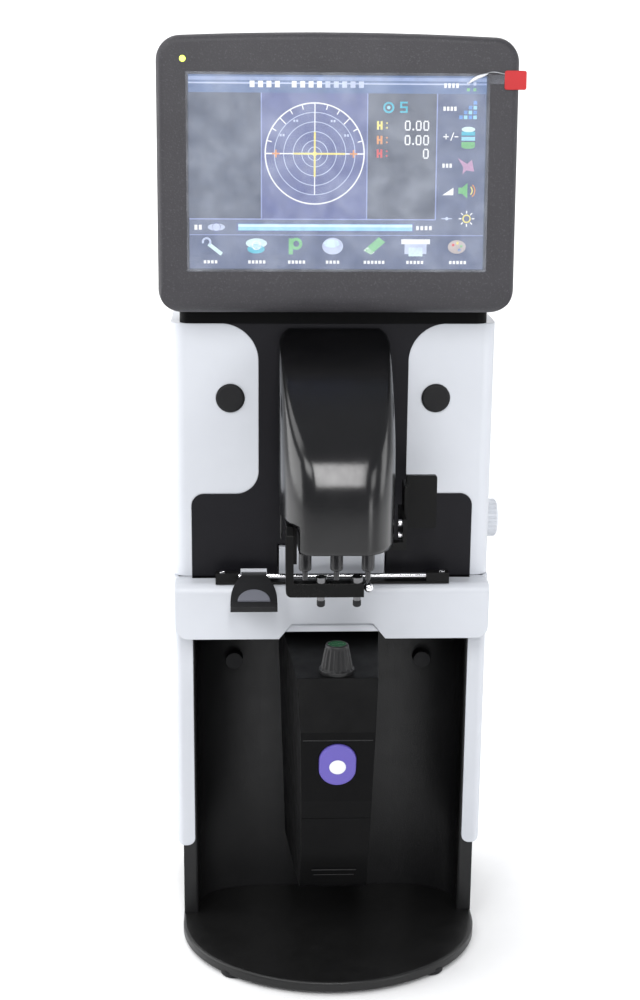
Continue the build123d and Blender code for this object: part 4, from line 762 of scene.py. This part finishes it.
def module_half(z):
    """Half-width of the module's front at a height."""
    return FACE_HALF_LOW + (FACE_HALF_HIGH - FACE_HALF_LOW) * (z - FACE_LOW) / (FACE_HIGH - FACE_LOW)


def ridge(name, z, half, proud, height):
    """A thin rounded line across the module's front."""
    bm = bmesh.new()
    sections = []
    for x in (-half, -half * 0.98, 0, half * 0.98, half):
        swell = proud if abs(x) < half else proud * 0.3
        section = []
        for k in range(LINE_ARC + 1):
            a = math.pi * (k / LINE_ARC - 0.5)
            zz = z + height / 2 * math.sin(a)
            y = module_front(zz) + LINE_SEAT - swell * math.cos(a)
            section.append(bm.verts.new((x * MM, y * MM, zz * MM)))
        sections.append(section)
    for a, b in zip(sections, sections[1:]):
        for k in range(LINE_ARC):
            bm.faces.new((a[k], b[k], b[k + 1], a[k + 1]))
        bm.faces.new((a[-1], b[-1], b[0], a[0]))
    bm.faces.new(sections[0])
    bm.faces.new(list(reversed(sections[-1])))
    line = mesh_object(name, bm, [materials["black_plastic"]], smooth=True)
    finish_piece(line, "stand")


ridge("module_panel_line", PANEL_LINE_Z, module_half(PANEL_LINE_Z) - 1.0, 0.35, 0.8)
ridge("module_lower_line_a", 67.3, 12.5, 0.6, 1.0)
ridge("module_lower_line_b", 63.2, 11.5, 0.4, 0.7)

# ---------------------------------------------------------------- floor, light and camera
FLOOR_HALF = 3.0
SWEEP_START, SWEEP_RADIUS, WALL_TOP = 1.3, 0.8, 3.2
SWEEP_STEPS = 16
FLOOR_DROP = 0.0003
profile = [(-FLOOR_HALF, 0.0), (SWEEP_START, 0.0)]
for i in range(1, SWEEP_STEPS + 1):
    a = math.pi / 2 * i / SWEEP_STEPS
    profile.append((SWEEP_START + SWEEP_RADIUS * math.sin(a), SWEEP_RADIUS * (1 - math.cos(a))))
profile.append((SWEEP_START + SWEEP_RADIUS, WALL_TOP))
bm = bmesh.new()
rows = [[bm.verts.new((x, y, z - FLOOR_DROP)) for x in (-FLOOR_HALF, FLOOR_HALF)] for y, z in profile]
for a, b in zip(rows, rows[1:]):
    bm.faces.new((a[0], a[1], b[1], b[0]))
floor_mat = surface("studio_floor", (0.92, 0.92, 0.92), 0.7, grain=0.004, bump=0.03, mottle=0.01, wear_and_highlight=0.0)
floor = mesh_object("studio_floor", bm, [floor_mat], smooth=True)

SKY_COLOR, SKY_STRENGTH = (0.93, 0.95, 1.0, 1.0), 0.42
world = bpy.data.worlds.new("studio")
world.use_nodes = True
sky = world.node_tree.nodes["Background"].inputs
sky["Color"].default_value = SKY_COLOR
sky["Strength"].default_value = SKY_STRENGTH
scene.world = world


def softbox(name, place, aim, width, height, power):
    """A soft rectangular light, in metres and watts, aimed at a point."""
    light = bpy.data.lights.new(name, "AREA")
    light.shape = "RECTANGLE"
    light.size = width
    light.size_y = height
    light.energy = power
    obj = bpy.data.objects.new(name, light)
    obj.location = place
    obj.rotation_euler = (Vector(aim) - Vector(place)).to_track_quat("-Z", "Y").to_euler()
    scene.collection.objects.link(obj)


softbox("key", (-0.9, -1.3, 1.5), (0, 0, 0.28), 0.9, 0.7, 11)
softbox("left", (-1.4, 0.1, 0.55), (0, 0, 0.3), 1.2, 0.9, 13)
softbox("right", (1.4, 0.1, 0.55), (0, 0, 0.3), 0.5, 0.9, 4)
softbox("top", (-0.9, -0.1, 1.7), (0, 0.0, 0.3), 0.8, 0.8, 6)
softbox("strip", (0.03, -1.05, 1.0), (0, -0.09, 0.31), 0.18, 0.8, 7)
softbox("fill", (1.2, -1.1, 0.8), (0, 0, 0.3), 0.6, 0.6, 3.8)
softbox("backdrop", (0.0, 0.75, 2.3), (0, 2.05, 1.1), 1.8, 0.5, 38)
softbox("low", (0.8, -1.05, 0.14), (0, 0, 0.23), 0.4, 0.25, 1.2)

FOCAL_PX = 1704.1
IMAGE_HEIGHT = 1000
SENSOR = 36.0
TARGET_POINT = Vector((-0.0069, -0.008, 0.2662))
AZIMUTH, ELEVATION, ROLL = math.radians(-2.565), math.radians(15.198), math.radians(0.501)
DISTANCE = 0.9645
towards = Vector((
    math.sin(AZIMUTH) * math.cos(ELEVATION), -math.cos(AZIMUTH) * math.cos(ELEVATION), math.sin(ELEVATION),
))
camera_data = bpy.data.cameras.new("camera")
camera_data.sensor_fit = "VERTICAL"
camera_data.sensor_height = SENSOR
camera_data.lens = FOCAL_PX * SENSOR / IMAGE_HEIGHT
camera_data.clip_start = 0.05
camera_data.clip_end = 20
camera = bpy.data.objects.new("camera", camera_data)
right = Vector((math.cos(AZIMUTH), math.sin(AZIMUTH), 0))
up = towards.cross(right)
turned_right = right * math.cos(ROLL) + up * math.sin(ROLL)
turned_up = up * math.cos(ROLL) - right * math.sin(ROLL)
camera.matrix_world = (
    Matrix.Translation(TARGET_POINT + towards * DISTANCE)
    @ Matrix((turned_right, turned_up, towards)).transposed().to_4x4()
)
scene.collection.objects.link(camera)
scene.camera = camera
scene.view_settings.view_transform = "Standard"

bpy.context.view_layer.update()
